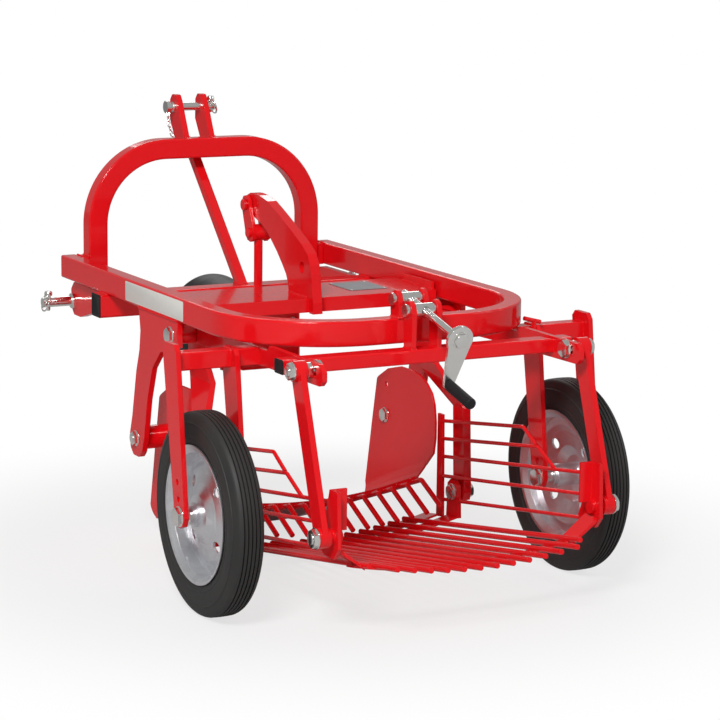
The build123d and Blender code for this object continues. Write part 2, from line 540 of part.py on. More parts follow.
crank_plane = Plane(origin=pivot + screw_line * SCREW_REACH, x_dir=Vector(1, 0, 0), z_dir=screw_line)
down = 1 if crank_plane.y_dir.Z < 0 else -1
tip = (-10, down * CRANK_ARM)
crank_face = Circle(27) + Pos(*tip) * Circle(10) + make_face(
    Polyline((-24, down * 12), (24, down * 12), (tip[0] + 10, tip[1]), (tip[0] - 10, tip[1]), close=True))
crank = extrude(crank_plane * crank_face, CRANK_T) + extrude(crank_plane * Circle(13), CRANK_T + 6)
put("screw_crank", crank)
grip = crank_plane * Pos(*tip, CRANK_T + GRIP_LENGTH / 2) * Cylinder(GRIP_R, GRIP_LENGTH)
put("crank_grip", fillet(grip.edges(), 4))

# =================================================================== depth frame
for side, s in SIDES:
    rounded = [(AXIS_Y + 8, 469), (AXIS_Y + 8, 506), (-225, 521), (-240, 508), (-240, 490), (-228, 480)]
    arm = yz_plate([(AXIS_Y + 8, 469), (AXIS_Y + 20, AXIS_Z), (AXIS_Y + 8, 506), (0, BAR_Z1 - 2), (-12, 521),
                    (-225, 521), (-240, 508), (-240, 490), (-228, 480), (60, BAR_Z0)],
                   s * SIDE_ARM_IN, s * SIDE_ARM_OUT, round_at=rounded, r=6)
    arm += rod_x(AXIS_Y, AXIS_Z, HUB_R, s * (LEVER_TOP_OUT + RUN_GAP), s * SIDE_ARM_OUT)
    arm -= rod_x(AXIS_Y, AXIS_Z, AXIS_PIN_R + BORE_GAP, s * 200, s * 300)
    slot = LINK_PIN_R + BORE_GAP
    arm -= box(s * 270, s * 290, LINK_Y1 - 24, LINK_Y1 + 24, LINK_Z1 - slot, LINK_Z1 + slot)
    put(f"side_arm_{side}", arm)
    bar = box(s * SIDE_ARM_OUT, s * FORK_OUT1, BAR_Y0, BAR_Y1, BAR_Z0, BAR_Z1)
    fork = fillet(bar.edges().filter_by(Axis.X), 3)
    for x0, x1, top in ((FORK_OUT0, FORK_OUT1, BAR_Z1 + 19), (FORK_IN0, FORK_IN1, BAR_Z1 + 3)):
        y_top = FORK_LEAN * (top - AXLE_Z)
        foot = [(-17, AXLE_Z - 17), (0, AXLE_Z - 24), (17, AXLE_Z - 17)]
        head = [(y_top + 32, top - 12), (y_top + 22, top), (y_top - 22, top), (y_top - 32, top - 12)]
        leg = yz_plate([(-24, AXLE_Z)] + foot + [(24, AXLE_Z)] + head, s * x0, s * x1, round_at=foot, r=8)
        leg -= rod_x(0, AXLE_Z, AXLE_R, s * (x0 - 1), s * (x1 + 1))
        for z in (233, 266):
            leg -= rod_x(FORK_LEAN * (z - AXLE_Z), z, 6, s * (x0 - 1), s * (x1 + 1))
        fork += leg
    # clamp screw with its T handle: up behind the right bar, down before the left one
    nut_y, stem_y, up = (BAR_Y0, BAR_Y0 - 9, 1) if s > 0 else (BAR_Y1, BAR_Y1 + 9, -1)
    mid = (BAR_Z0 + BAR_Z1) / 2
    fork += box(s * 321, s * 341, nut_y, 2 * stem_y - nut_y, mid - 10, mid + 10)
    fork += rod_z(s * 331, stem_y, 5, mid, mid + up * 32)
    fork += rod_between((s * 307, stem_y, mid + up * 36), (s * 346, stem_y, mid + up * 26), 4.5)
    put(f"wheel_fork_{side}", fork)
    axle = rod_x(0, AXLE_Z, AXLE_R, s * (FORK_IN0 - 10), s * (FORK_OUT1 + 10))
    axle += (rod_x(0, AXLE_Z, 16, s * FORK_OUT1, s * (FORK_OUT1 + 10))
             + rod_x(0, AXLE_Z, 16, s * (FORK_IN0 - 10), s * FORK_IN0))
    axle += rod_x(0, AXLE_Z, 12, s * FORK_IN1, s * (WHEEL_X - HUB_HALF - RUN_GAP))
    axle += rod_x(0, AXLE_Z, 12, s * (WHEEL_X + HUB_HALF + RUN_GAP), s * FORK_OUT0)
    put(f"wheel_axle_{side}", axle)

rear = box(-SIDE_ARM_IN, SIDE_ARM_IN, REARBAR_Y0, REARBAR_Y1, REARBAR_Z0, REARBAR_Z1)
rear = fillet(rear.edges().filter_by(Axis.X), TUBE_EDGE_R)
for _, x0, x1 in LUGS:
    rear += lug(x0, x1, NUT_R_Y, REARBAR_Z1 - 0.5, NUT_R_Z)
put("rear_bar", rear)
nut = rod_x(NUT_R_Y, NUT_R_Z, 12, SCREW_X - 22, SCREW_X + 22) + rod_x(NUT_R_Y, NUT_R_Z, 8, -52, 26)
nut += rod_x(NUT_R_Y, NUT_R_Z, 12, -52, -45)
nut -= rod_between(tuple(pivot), tuple(pivot + screw_line * 120), SCREW_R + SCREW_GAP)
put("screw_nut", nut)


# =================================================================== wheels
def tyre():
    h, w = TREAD_W / 2, TYRE_W / 2
    # radius and x, from the bead up the side to the middle of the tread
    half = [(RIM_R - 2, w - 6), (RIM_R + 8, w - 3), (RIM_R + 28, w), (TYRE_R - 24, w - 1),
            (TYRE_R - 10, h + 7), (TYRE_R - 2.5, h + 1), (TYRE_R - 0.6, h - 6), (TYRE_R, 0)]
    pts = half + [(r, -x) for r, x in reversed(half[:-1])] + [(RIM_R - 12, -w + 12), (RIM_R - 12, w - 12)]
    return revolve(make_face(Polyline(*[Vector(x, 0, r) for r, x in pts], close=True)), Axis.X, 360)


def rim(s):
    lip = TYRE_W / 2 - 0.5
    # barrel that carries the tyre, open to both sides, with a dished disc; radius, x
    pts = [(RIM_R + 1, lip), (RIM_R + 1, lip - 3), (RIM_R - 2, lip - 5.5), (RIM_R - 12, lip - 11.5),
           (RIM_R - 12, -lip + 11.5), (RIM_R - 2, -lip + 5.5), (RIM_R + 1, -lip + 3), (RIM_R + 1, -lip),
           (RIM_R - 5, -lip + 1), (RIM_R - 15, -lip + 10), (RIM_R - 15, -8), (103, -6), (90, 0), (58, 8),
           (38, 20), (24, 22), (24, 26), (40, 24), (60, 12), (92, 4), (104, -2), (RIM_R - 15, -4),
           (RIM_R - 15, lip - 10), (RIM_R - 5, lip - 1)]
    solid = revolve(make_face(Polyline(*[Vector(s * x, 0, r) for r, x in pts], close=True)), Axis.X, 360)
    for k in range(4):
        a = math.radians(45 + 90 * k)
        solid -= rod_x(76 * math.cos(a), 76 * math.sin(a), 11, -40, 40)
    return solid


hub = rod_x(0, 0, 24, 6 - HUB_HALF, HUB_HALF - 6) + rod_x(0, 0, 18, -HUB_HALF, HUB_HALF)
hub -= rod_x(0, 0, AXLE_R + BORE_GAP, -60, 60)
for side, s in SIDES:
    at = Pos(s * WHEEL_X, 0, AXLE_Z)
    put(f"tyre_{side}", at * tyre())
    put(f"rim_{side}", at * (rim(s) + hub))

# =================================================================== rear links
BOSS_IN, BOSS_OUT = LINK_IN - 6, LINK_OUT + 6
for side, s in SIDES:
    run = Vector(0, LINK_Y0 - LINK_Y1, LINK_Z0 - LINK_Z1)
    n = Vector(0, run.Z, -run.Y).normalized() * (LINK_W / 2)
    a, b = Vector(0, LINK_Y1, LINK_Z1), Vector(0, LINK_Y0, LINK_Z0)
    quad = [a + n, b + n, b - n, a - n]
    link = yz_plate([(v.Y, v.Z) for v in quad], s * LINK_IN, s * LINK_OUT)
    for y, z in ((LINK_Y1, LINK_Z1), (LINK_Y0, LINK_Z0)):
        link += rod_x(y, z, LINK_W / 2, s * LINK_IN, s * LINK_OUT)
        link += rod_x(y, z, 20, s * BOSS_IN, s * BOSS_OUT)
    for y, z in ((LINK_Y1, LINK_Z1), (LINK_Y0, LINK_Z0)):
        link -= rod_x(y, z, LINK_PIN_R + BORE_GAP, s * 280, s * 340)
    put(f"rear_link_{side}", link)
    pin = rod_x(LINK_Y1, LINK_Z1, LINK_PIN_R, s * (SIDE_ARM_IN - 11), s * (BOSS_OUT + 12))
    pin += rod_x(LINK_Y1, LINK_Z1, 15, s * (SIDE_ARM_IN - 11), s * (SIDE_ARM_IN - RUN_GAP))
    pin += rod_x(LINK_Y1, LINK_Z1, 14, s * (BOSS_OUT + RUN_GAP), s * (BOSS_OUT + 10))
    pin += rod_x(LINK_Y1, LINK_Z1, 15, s * (SIDE_ARM_OUT + RUN_GAP), s * (BOSS_IN - RUN_GAP))
    put(f"link_pin_{side}", pin)


# =================================================================== sieve
FLOOR_SLOPE = (FLOOR_Z1 - FLOOR_Z0) / (FLOOR_Y0 - FLOOR_Y1)


def floor_z(x, y):
    """Height of the rods' middle line over the ground."""
    return FLOOR_Z0 + FLOOR_SLOPE * (FLOOR_Y0 - y) + dish(x)


def cross_strip(y0, y1, half):
    """Flat bar under the rods, from y0 back to y1, bent to the floor's dish."""
    face = Pos(0, y0, 0) * dished_band(half, floor_z(0, y0) - ROD_R + 3, STRIP_T)
    run = Vector(0, y1 - y0, FLOOR_SLOPE * (y0 - y1))
    return extrude(face, run.length, dir=run.normalized())


STRIPS = (
    # front edge, rear edge, half length
    (FLOOR_Y0 - 1, FLOOR_Y0 - 58, FENCE_IN),
    (LEVER_Y + 25, LEVER_Y - 25, FENCE_IN),
    (-262, -292, ROD_X + 12),
)
grate = None
for y0, y1, half in STRIPS:
    strip = cross_strip(y0, y1, half)
    grate = strip if grate is None else grate + strip
for i in range(ROD_N):
    x = ROD_STEP * i - ROD_X
    y1 = SIDE_ROD_Y1 if i in (0, ROD_N - 1) else FLOOR_Y1
    grate += rod_between((x, FLOOR_Y0, floor_z(x, FLOOR_Y0)), (x, y1, floor_z(x, y1)), ROD_R)
# the rear strip's ends rise to the side brackets
WING_Z = 190.0
for _, s in SIDES:
    z = floor_z(ROD_X, -286)
    wing = Plane.XZ * make_face(Polyline((s * (ROD_X - 2), z - 6), (s * (ROD_X - 2), z),
                                         (s * FENCE_IN, WING_Z), (s * FENCE_IN, WING_Z - 9), close=True))
    grate += extrude(Pos(0, -266, 0) * wing, 44, dir=(0, -1, 0))
put("sieve_floor", grate)

FENCE = (
    # y, z along each rod, front to rear
    ((322, 261), (-20, 314), (-72, 286)),
    ((322, 222), (-78, 284), (-145, 252)),
    ((322, 183), (-290, 273)),
    ((322, 140), (-290, 230)),
    ((322, 88), (-262, 178)),
)
POST_Y0, POST_Y1, POST_Z1 = 302.0, 328.0, 277.0
for side, s in SIDES:
    fence = None
    rod_plane = FENCE_X if s > 0 else LEFT_ROD_X
    for points in FENCE:
        path = [(s * rod_plane, y, z) for y, z in points]
        r = bent_rod(path, FENCE_R, 12) if len(path) > 2 else rod_between(path[0], path[1], FENCE_R)
        fence = r if fence is None else fence + r
    # front post on the first cross bar
    foot = floor_z(FENCE_IN, POST_Y1) - ROD_R - 2
    fence += yz_plate([(POST_Y0, foot + 4), (POST_Y1, foot), (POST_Y1, POST_Z1), (POST_Y0 + 6, POST_Z1)],
                      s * FENCE_IN, s * (FENCE_X + 2))
    # lug with the boss of the shaking lever
    base = floor_z(FENCE_IN, LEVER_Y) - ROD_R - 2
    fence += yz_plate([(LEVER_Y - 26, base + 4), (LEVER_Y + 26, base - 3), (LEVER_Y + 22, LEVER_Z + 16),
                       (LEVER_Y + 10, LEVER_Z + 26), (LEVER_Y - 10, LEVER_Z + 26),
                       (LEVER_Y - 22, LEVER_Z + 16)], s * FENCE_IN, s * FENCE_OUT)
    fence += rod_x(LEVER_Y, LEVER_Z, 14, s * FENCE_OUT, s * (LEVER_IN - RUN_GAP))
    # rear bracket, an angle with the boss of the rear link
    fence += yz_plate([(-240, 180), (-262, 168), (-300, 168), (-318, 190), (-313, 297), (-281, 297),
                       (-262, 230)], s * FENCE_IN, s * FENCE_OUT)
    fence += box(s * (FENCE_IN - 26), s * FENCE_OUT, -287, -281, 218, 297)
    fence += rod_x(LINK_Y0, LINK_Z0, 14, s * FENCE_OUT, s * (BOSS_IN - RUN_GAP))
    bolt_in, bolt_out = FENCE_IN - 9, BOSS_OUT + 12
    fence -= rod_x(LEVER_Y, LEVER_Z, LINK_PIN_R + BORE_GAP, s * 270, s * 300)
    foot_bolt = (rod_x(LINK_Y0, LINK_Z0, LINK_PIN_R, s * bolt_in, s * bolt_out)
                 + rod_x(LINK_Y0, LINK_Z0, 14, s * bolt_in, s * FENCE_IN))
    foot_bolt += rod_x(LINK_Y0, LINK_Z0, 16, s * (BOSS_OUT + RUN_GAP), s * (BOSS_OUT + 10))
    put(f"sieve_side_{side}", fence + foot_bolt)
    bolt = rod_x(LEVER_Y, LEVER_Z, LINK_PIN_R, s * bolt_in, s * (LEVER_OUT + 12))
    bolt += rod_x(LEVER_Y, LEVER_Z, 14, s * bolt_in, s * (FENCE_IN - RUN_GAP))
    bolt += rod_x(LEVER_Y, LEVER_Z, 14, s * (LEVER_OUT + RUN_GAP), s * (LEVER_OUT + 12))
    put(f"lever_bolt_{side}", bolt)
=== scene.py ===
# %% [markdown]
# # Dressing a potato digger
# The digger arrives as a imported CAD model: a red U-frame on two depth wheels, a bent arch for the
# tractor's top link, a dished share and a shaken sieve of round rods. Every piece already has its real
# size and place. This lesson adds what the plain solids lack: paint, zinc and rubber, hexagon nuts, weld
# beads, a chain, lynch pins, a ribbed tread, caps in the open tube ends and blank plates. All places are
# worked out from the boxes of the CAD nodes, so nothing has to be fitted afterwards.

# %% Load the fixed frame
import json
import math

import bmesh
import bpy
from mathutils import Matrix, Vector


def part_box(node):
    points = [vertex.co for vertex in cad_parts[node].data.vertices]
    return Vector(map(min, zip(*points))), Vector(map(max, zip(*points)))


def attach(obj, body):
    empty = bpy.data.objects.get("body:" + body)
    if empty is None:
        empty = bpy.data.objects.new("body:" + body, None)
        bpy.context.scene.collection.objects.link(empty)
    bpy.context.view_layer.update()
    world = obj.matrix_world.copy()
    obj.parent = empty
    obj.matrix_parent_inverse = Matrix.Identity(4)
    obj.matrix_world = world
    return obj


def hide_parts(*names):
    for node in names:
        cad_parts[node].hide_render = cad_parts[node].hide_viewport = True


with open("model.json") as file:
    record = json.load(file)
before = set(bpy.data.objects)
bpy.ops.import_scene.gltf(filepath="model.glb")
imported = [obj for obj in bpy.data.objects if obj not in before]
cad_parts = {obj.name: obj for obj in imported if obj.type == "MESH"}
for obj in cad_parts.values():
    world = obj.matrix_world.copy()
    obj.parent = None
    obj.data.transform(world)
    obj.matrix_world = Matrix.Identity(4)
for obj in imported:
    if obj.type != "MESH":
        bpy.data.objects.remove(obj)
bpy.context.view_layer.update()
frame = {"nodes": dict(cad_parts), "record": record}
MM = 0.001
SIDES = (("left", -1), ("right", 1))


def box_mm(node):
    """Lowest and highest corner of a CAD node, in millimetres."""
    low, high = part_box(node)
    return low / MM, high / MM


def pivot(name):
    """Place of a joint, in millimetres."""
    for joint in frame["record"]["behaviour"]["joints"]:
        if joint["name"] == name:
            return Vector(joint["pos_m"]) / MM
    raise KeyError(name)


# %% [markdown]
# ## The camera
# The machine is seen from behind and from its left, from a little above. A camera could be aimed at a
# target point, but then a small roll is hard to set. So its own axes are worked out from three angles:
# the heading from +Y towards +X, the dip, and the roll. A long lens, as for a catalogue, keeps both
# wheels alike in size.

# %% Camera
CAMERA_PLACE = Vector((-2.354, -4.341, 1.387))
HEADING, DIP, ROLL = (math.radians(angle) for angle in (27.63, 10.53, 0.72))
LENS_MM, SENSOR_MM = 126.85, 36.0
FAR_CLIP = 200.0


def camera_axes():
    """Right, up and forward directions of the camera."""
    forward = Vector((math.sin(HEADING) * math.cos(DIP), math.cos(HEADING) * math.cos(DIP), -math.sin(DIP)))
    right = Vector((math.cos(HEADING), -math.sin(HEADING), 0.0))
    up = right.cross(forward)
    return (math.cos(ROLL) * right + math.sin(ROLL) * up,
            math.cos(ROLL) * up - math.sin(ROLL) * right, forward)


right, up, forward = camera_axes()
lens = bpy.data.cameras.new("camera")
lens.lens = LENS_MM
lens.sensor_width = SENSOR_MM
lens.clip_end = FAR_CLIP
camera = bpy.data.objects.new("camera", lens)
facing = Matrix((right, up, -forward)).transposed().to_4x4()
camera.matrix_world = Matrix.Translation(CAMERA_PLACE) @ facing
bpy.context.collection.objects.link(camera)
scene = bpy.context.scene
scene.camera = camera
scene.view_settings.view_transform = "Standard"
print("camera looks along", [round(v, 3) for v in forward])

# %% [markdown]
# ## Writing shader maths as expressions
# A material is a graph of nodes, and wiring it by hand is hard to read. One small class wraps a socket,
# so that `1 - mask * 0.3` adds the Math nodes by itself. Every other node comes from one function, which
# sets the node's own settings first and then fills or links its sockets. The same two tools build
# geometry trees.

# %% A wire and a node maker


class Wire:
    """One output socket. Arithmetic on it adds Math nodes to its tree."""

    def __init__(self, tree, socket):
        self.tree = tree
        self.socket = socket

    def maths(self, operation, *values):
        return add_node(self.tree, "ShaderNodeMath", {"operation": operation}, dict(enumerate(values)))

    def __add__(self, other):
        return self.maths("ADD", self, other)

    def __radd__(self, other):
        return self.maths("ADD", other, self)

    def __sub__(self, other):
        return self.maths("SUBTRACT", self, other)

    def __rsub__(self, other):
        return self.maths("SUBTRACT", other, self)

    def __mul__(self, other):
        return self.maths("MULTIPLY", self, other)

    def __rmul__(self, other):
        return self.maths("MULTIPLY", other, self)

    def __truediv__(self, other):
        return self.maths("DIVIDE", self, other)

    def __pow__(self, other):
        return self.maths("POWER", self, other)

    def also(self, name):
        """Another output of the same node."""
        return Wire(self.tree, self.socket.node.outputs[name])


def set_sockets(tree, node, values):
    """Fills or links a node's input sockets."""
    for key, value in values.items():
        if isinstance(value, Wire):
            tree.links.new(value.socket, node.inputs[key])
        else:
            node.inputs[key].default_value = value


def add_node(tree, kind, settings=None, values=None, output=0):
    """A new node: its settings first, then its sockets. Returns the wire of one output."""
    node = tree.nodes.new(kind)
    for key, value in (settings or {}).items():
        setattr(node, key, value)
    set_sockets(tree, node, values or {})
    return Wire(tree, node.outputs[output]) if node.outputs else None


# %% [markdown]
# ## Words that the finishes share
# Paint, zinc and rubber are different things, but all start alike: a place on the machine, a cloudy
# noise, a blend of two colours, edges that are a little round and a fine relief. Each gets a small
# function here, so that a finish reads as a list of what it looks like. Round edges could be modelled,
# but a Bevel node does it for every piece without touching a mesh.

# %% Small words for finishes


def new_finish(name):
    """A material with its tree and its Principled shader."""
    material = bpy.data.materials.new(name)
    material.use_nodes = True
    tree = material.node_tree
    return material, tree, tree.nodes["Principled BSDF"]


def object_place(tree):
    """Place on the piece, which is also the place in the machine."""
    return add_node(tree, "ShaderNodeTexCoord", output="Object")


def noise(tree, place, scale, detail=2.0, roughness=0.5):
    """Cloudy pattern from 0 to 1."""
    return add_node(tree, "ShaderNodeTexNoise", None,
                    {"Vector": place, "Scale": scale, "Detail": detail, "Roughness": roughness})


def ring_noise(tree, radius, scale, detail):
    """Noise that changes only with the distance from an axis, so it runs in rings."""
    return add_node(tree, "ShaderNodeTexNoise", {"noise_dimensions": "1D"},
                    {"W": radius, "Scale": scale, "Detail": detail})


def mix_colour(tree, factor, first, second):
    """Blend of two colours."""
    return add_node(tree, "ShaderNodeMix", {"data_type": "RGBA"},
                    {0: factor, 6: (*first, 1.0), 7: (*second, 1.0)}, 2)


def tinted(base, tint):
    """A colour times another."""
    return tuple(part * share for part, share in zip(base, tint))


def eased_edges(tree, radius_mm):
    """Normal that turns smoothly over sharp edges, as paint and plating do."""
    return add_node(tree, "ShaderNodeBevel", {"samples": 4}, {"Radius": radius_mm * MM})


def bump(tree, height, depth_mm, strength, normal=None):
    """Normal of a fine relief, on top of another normal where one is given."""
    values = {"Height": height, "Distance": depth_mm * MM, "Strength": strength}
    if normal is not None:
        values["Normal"] = normal
    return add_node(tree, "ShaderNodeBump", None, values)


# %% [markdown]
# ## Red powder coat
# The frame is shot-blasted and baked in a thick glossy powder. Close up the coat has a faint orange peel,
# and its colour drifts a little from bar to bar. A flat red would look like plastic, and a painted
# picture would stretch on the long tubes. So noise in the machine's own place makes the drift, the peel
# and the roughness. Folded plates have tighter edges than drawn tubes, which is why there are two reds
# with one recipe.

# %% Red powder coat
RED_LOW, RED_HIGH = (0.71, 0.004, 0.008), (0.82, 0.007, 0.011)
PLATE_EDGE_MM, TUBE_EDGE_MM = 2.2, 5.5


def powder_coat(name, edge_mm):
    """Glossy coat over edges that are rounded by edge_mm."""
    material, tree, shader = new_finish(name)
    place = object_place(tree)
    drift = noise(tree, place, 7.0, 3.0)
    peel = noise(tree, place, 420.0, 1.0)
    grime = noise(tree, place, 38.0, 5.0, 0.65)
    set_sockets(tree, shader, {
        "Base Color": mix_colour(tree, drift, RED_LOW, RED_HIGH),
        "Roughness": 0.13 + 0.10 * (grime ** 2.0),
        "Normal": bump(tree, peel, 0.05, 0.35, eased_edges(tree, edge_mm)),
        "Specular IOR Level": 0.22,
        "Coat Weight": 0.30,
        "Coat Roughness": 0.03,
    })
    return material


red = powder_coat("red_on_plates", PLATE_EDGE_MM)
red_tube = powder_coat("red_on_tubes", TUBE_EDGE_MM)
print("reds", red.name, red_tube.name)

# %% [markdown]
# ## Zinc and steel
# Bolts, pins and the crank are zinc plated. The bath leaves a cloudy bloom, so they are never mirror
# bright, and the splined shaft is bare machined steel. One recipe with a base colour and a roughness
# serves both.

# %% Zinc plating and machined steel
BLOOM_TINT = (0.90, 0.89, 0.84)     # the bloom is a little darker and yellower


def zinc_plating(name, base, rough):
    """Bright plating with a cloudy, slightly yellow bloom."""
    material, tree, shader = new_finish(name)
    place = object_place(tree)
    cloud = noise(tree, place, 60.0, 4.0, 0.6)
    pits = noise(tree, place, 900.0, 2.0)
    set_sockets(tree, shader, {
        "Base Color": mix_colour(tree, cloud, base, tinted(base, BLOOM_TINT)),
        "Metallic": 1.0,
        "Roughness": rough + 0.16 * cloud,
        "Normal": bump(tree, pits, 0.03, 0.4, eased_edges(tree, 0.5)),
    })
    return material


zinc = zinc_plating("zinc_plating", (0.93, 0.93, 0.92), 0.11)
bright_steel = zinc_plating("machined_steel", (0.62, 0.61, 0.60), 0.20)
print("platings", zinc.name, bright_steel.name)

# %% [markdown]
# ## Spun wheel discs
# A wheel disc is galvanised sheet, spun over a form. It keeps fine rings round the axle and the flakes of
# the zinc. Anisotropic shading could fake the rings, but it is lost when the model is exported. A
# one-dimensional noise over the distance from the axle gives real rings in colour, roughness and relief.

# %% Spun sheet, one for each wheel
PALE_ZINC, DULL_ZINC = (0.92, 0.93, 0.95), (0.64, 0.65, 0.68)


def spun_sheet(side):
    """Galvanised sheet with spun rings round the axle of one wheel."""
    material, tree, shader = new_finish(f"spun_sheet_{side}")
    low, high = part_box(f"rim_{side}")
    place = add_node(tree, "ShaderNodeMapping", {"vector_type": "TEXTURE"},
                     {"Vector": object_place(tree), "Location": tuple((low + high) / 2)})
    split = add_node(tree, "ShaderNodeSeparateXYZ", None, {"Vector": place})
    along, height = split.also("Y"), split.also("Z")
    radius = (along * along + height * height) ** 0.5
    rings = ring_noise(tree, radius, 900.0, 3.0)
    bands = ring_noise(tree, radius, 70.0, 2.0)
    spangle = add_node(tree, "ShaderNodeTexVoronoi", None, {"Vector": place, "Scale": 55.0}, "Color")
    flake = add_node(tree, "ShaderNodeSeparateColor", None, {"Color": spangle})
    set_sockets(tree, shader, {
        "Base Color": mix_colour(tree, 0.55 * bands + 0.35 * flake, PALE_ZINC, DULL_ZINC),
        "Metallic": 1.0,
        "Roughness": 0.24 + 0.14 * rings + 0.08 * flake,
        "Normal": bump(tree, rings, 0.06, 0.35, eased_edges(tree, 0.6)),
    })
    return material


spun = {side: spun_sheet(side) for side, _ in SIDES}
print("spun sheets", len(spun))

# %% [markdown]
# ## Rubber and black plastic
# The tyres are solid rubber. In store it grows a pale bloom in patches, over a fine grain. The crank's
# grip, the shaft guard and the tube caps are moulded plastic with a leathery grain, shinier where hands
# have worn it. Both are the same idea: a slow noise for the patches and a fast one for the grain.

# %% Rubber and black plastic
BLACK_RUBBER, BLOOMED_RUBBER = (0.012, 0.012, 0.012), (0.034, 0.032, 0.030)
BLACK = (0.012, 0.012, 0.013)
WORN = (1.7, 1.7, 1.7)


def rubber(name):
    """Dull black rubber with a pale bloom and a fine grain."""
    material, tree, shader = new_finish(name)
    place = object_place(tree)
    bloom = noise(tree, place, 9.0, 4.0, 0.6)
    grain = noise(tree, place, 650.0, 3.0)
    set_sockets(tree, shader, {
        "Base Color": mix_colour(tree, bloom, BLACK_RUBBER, BLOOMED_RUBBER),
        "Roughness": 0.50 + 0.18 * bloom,
        "Normal": bump(tree, grain, 0.12, 0.5),
        "Specular IOR Level": 0.45,
    })
    return material


def moulded_plastic(name, base, rough):
    """Injection moulded plastic with a leathery grain."""
    material, tree, shader = new_finish(name)
    place = object_place(tree)
    grain = noise(tree, place, 1100.0, 2.0)
    wear = noise(tree, place, 30.0, 3.0)
    set_sockets(tree, shader, {
        "Base Color": mix_colour(tree, wear, base, tinted(base, WORN)),
        "Roughness": rough + 0.12 * wear,
        "Normal": bump(tree, grain, 0.05, 0.5, eased_edges(tree, 0.8)),
        "Specular IOR Level": 0.12,
    })
    return material


tyre_rubber = rubber("tyre_rubber")
black_plastic = moulded_plastic("black_plastic", BLACK, 0.40)
print("blacks", tyre_rubber.name, black_plastic.name)

# %% [markdown]
# ## Blank vinyl and blank plate
# The rail carries a long printed film and the channel a small printed plate. Both are left blank here, so
# each needs only one plain colour and the slight waviness of a sheet that lies on paint.

# %% Label and plate


def thin_label(name, base, rough):
    """A blank label: one plain colour with the slight waviness of a stuck-on film."""
    material, tree, shader = new_finish(name)
    wave = noise(tree, object_place(tree), 45.0, 2.0)
    set_sockets(tree, shader, {
        "Base Color": mix_colour(tree, wave, base, tinted(base, (0.93, 0.93, 0.93))),
        "Roughness": rough + 0.08 * wave,
        "Normal": bump(tree, wave, 0.10, 0.4),
    })
    return material


white_vinyl = thin_label("white_vinyl", (0.80, 0.79, 0.74), 0.28)
plate_metal = thin_label("plate_metal", (0.105, 0.115, 0.13), 0.45)
print("finishes", len(bpy.data.materials))

# %% [markdown]
# ## Painting the CAD pieces
# The imported record says which slot each piece belongs to. The CAD meshes stay as they are and only
# their material slots change, so each piece only gets a better finish here. The drawn tubes get the red with
# wide edges.

# %% Give every CAD node its finish
FINISH_OF_SLOT = {
    "red_paint": red,
    "zinc": zinc,
    "tyre": tyre_rubber,
    "black_plastic": black_plastic,
    "bright_steel": bright_steel,
}
TUBES = ("main_u_frame", "headstock_arch", "hitch_cross_tube", "mast_brace")


def finish_of_node(node, slot):
    """The finish of one CAD node."""
    if node.startswith("rim_"):
        return spun[node.removeprefix("rim_")]
    if node.startswith("side_plate_spacer"):
        return red      # only its bolt is plated, and that gets a nut and a head of its own
    return red_tube if node in TUBES else FINISH_OF_SLOT[slot]


def paint_nodes():
    """Puts each node's finish in all of its material slots."""
    for entry in frame["record"]["subparts"]:
        piece = frame["nodes"][entry["node"]]
        material = finish_of_node(entry["node"], entry["material_slot"])
        for slot in piece.material_slots:
            slot.material = material
        if not piece.material_slots:
            piece.data.materials.append(material)


paint_nodes()

# %% [markdown]
# ## Meshes from code
# Blender could add ready cylinders and cubes, but then each has to be moved and turned, and patterns on
# Object coordinates would turn with it. So `mesh_piece` turns plain points and faces into an object, and
# `turned` spins an outline round an axis, as a lathe does. Every mesh holds its own place, so that its
# object can stay at the origin. More helpers follow where they are first needed.

# %% Mesh helpers
CREASE_ANGLE = math.radians(34)     # edges sharper than this stay sharp


def turn_outwards(mesh):
    """Makes every face point out of its own shell."""
    work = bmesh.new()
    work.from_mesh(mesh)
    bmesh.ops.recalc_face_normals(work, faces=work.faces)
    work.to_mesh(mesh)
    work.free()


def new_object(name, data):
    """A linked object at the origin."""
    piece = bpy.data.objects.new(name, data)
    bpy.context.collection.objects.link(piece)
    return piece


def shade(mesh):
    """Smooth faces with sharp creases."""
    mesh.shade_smooth()
    mesh.set_sharp_from_angle(angle=CREASE_ANGLE)


def mesh_piece(name, points_mm, faces, material):
    """An object at the origin whose mesh holds its place."""
    mesh = bpy.data.meshes.new(name)
    mesh.from_pydata([tuple(Vector(point) * MM) for point in points_mm], [], faces)
    mesh.materials.append(material)
    mesh.validate()
    turn_outwards(mesh)
    shade(mesh)
    return new_object(name, mesh)


def turned(name, outline, centre_mm, material, steps, closed=True):
    """Spins an outline of (radius, x) points round an axis along X through centre."""
    centre = Vector(centre_mm)
    points, faces = [], []
    for step in range(steps):
        angle = 2 * math.pi * step / steps
        for radius, x in outline:
            points.append(centre + Vector((x, radius * math.cos(angle), radius * math.sin(angle))))
    count = len(outline)
    last = count if closed else count - 1
    for step in range(steps):
        here, there = step * count, (step + 1) % steps * count
        for k in range(last):
            after = (k + 1) % count
            faces.append((here + k, here + after, there + after, there + k))
    return mesh_piece(name, points, faces, material)


# %% [markdown]
# ## Tyres
# The tread is a row of narrow ribs that run round the tyre, with square grooves between them. The
# sidewall has two thin raised rings and a bead that grips the rim. A bump map could hint at the ribs, but
# the tyre's edge would stay straight. So one outline holds all of that and is turned on the axle, at the
# size of the CAD tyre that it replaces.

# %% Outline of a ribbed solid tyre
TREAD_HALF, GROOVE_W, GROOVE_DEEP = 21.0, 2.6, 4.2
GROOVES = (-16.0, -8.0, 0.0, 8.0, 16.0)
CROWN = 0.0022          # the tread falls away by this much times the square of the distance
RIM_SEAT = 13.0         # the tyre's inside lies this far below the rim's lip
TYRE_STEPS = 160


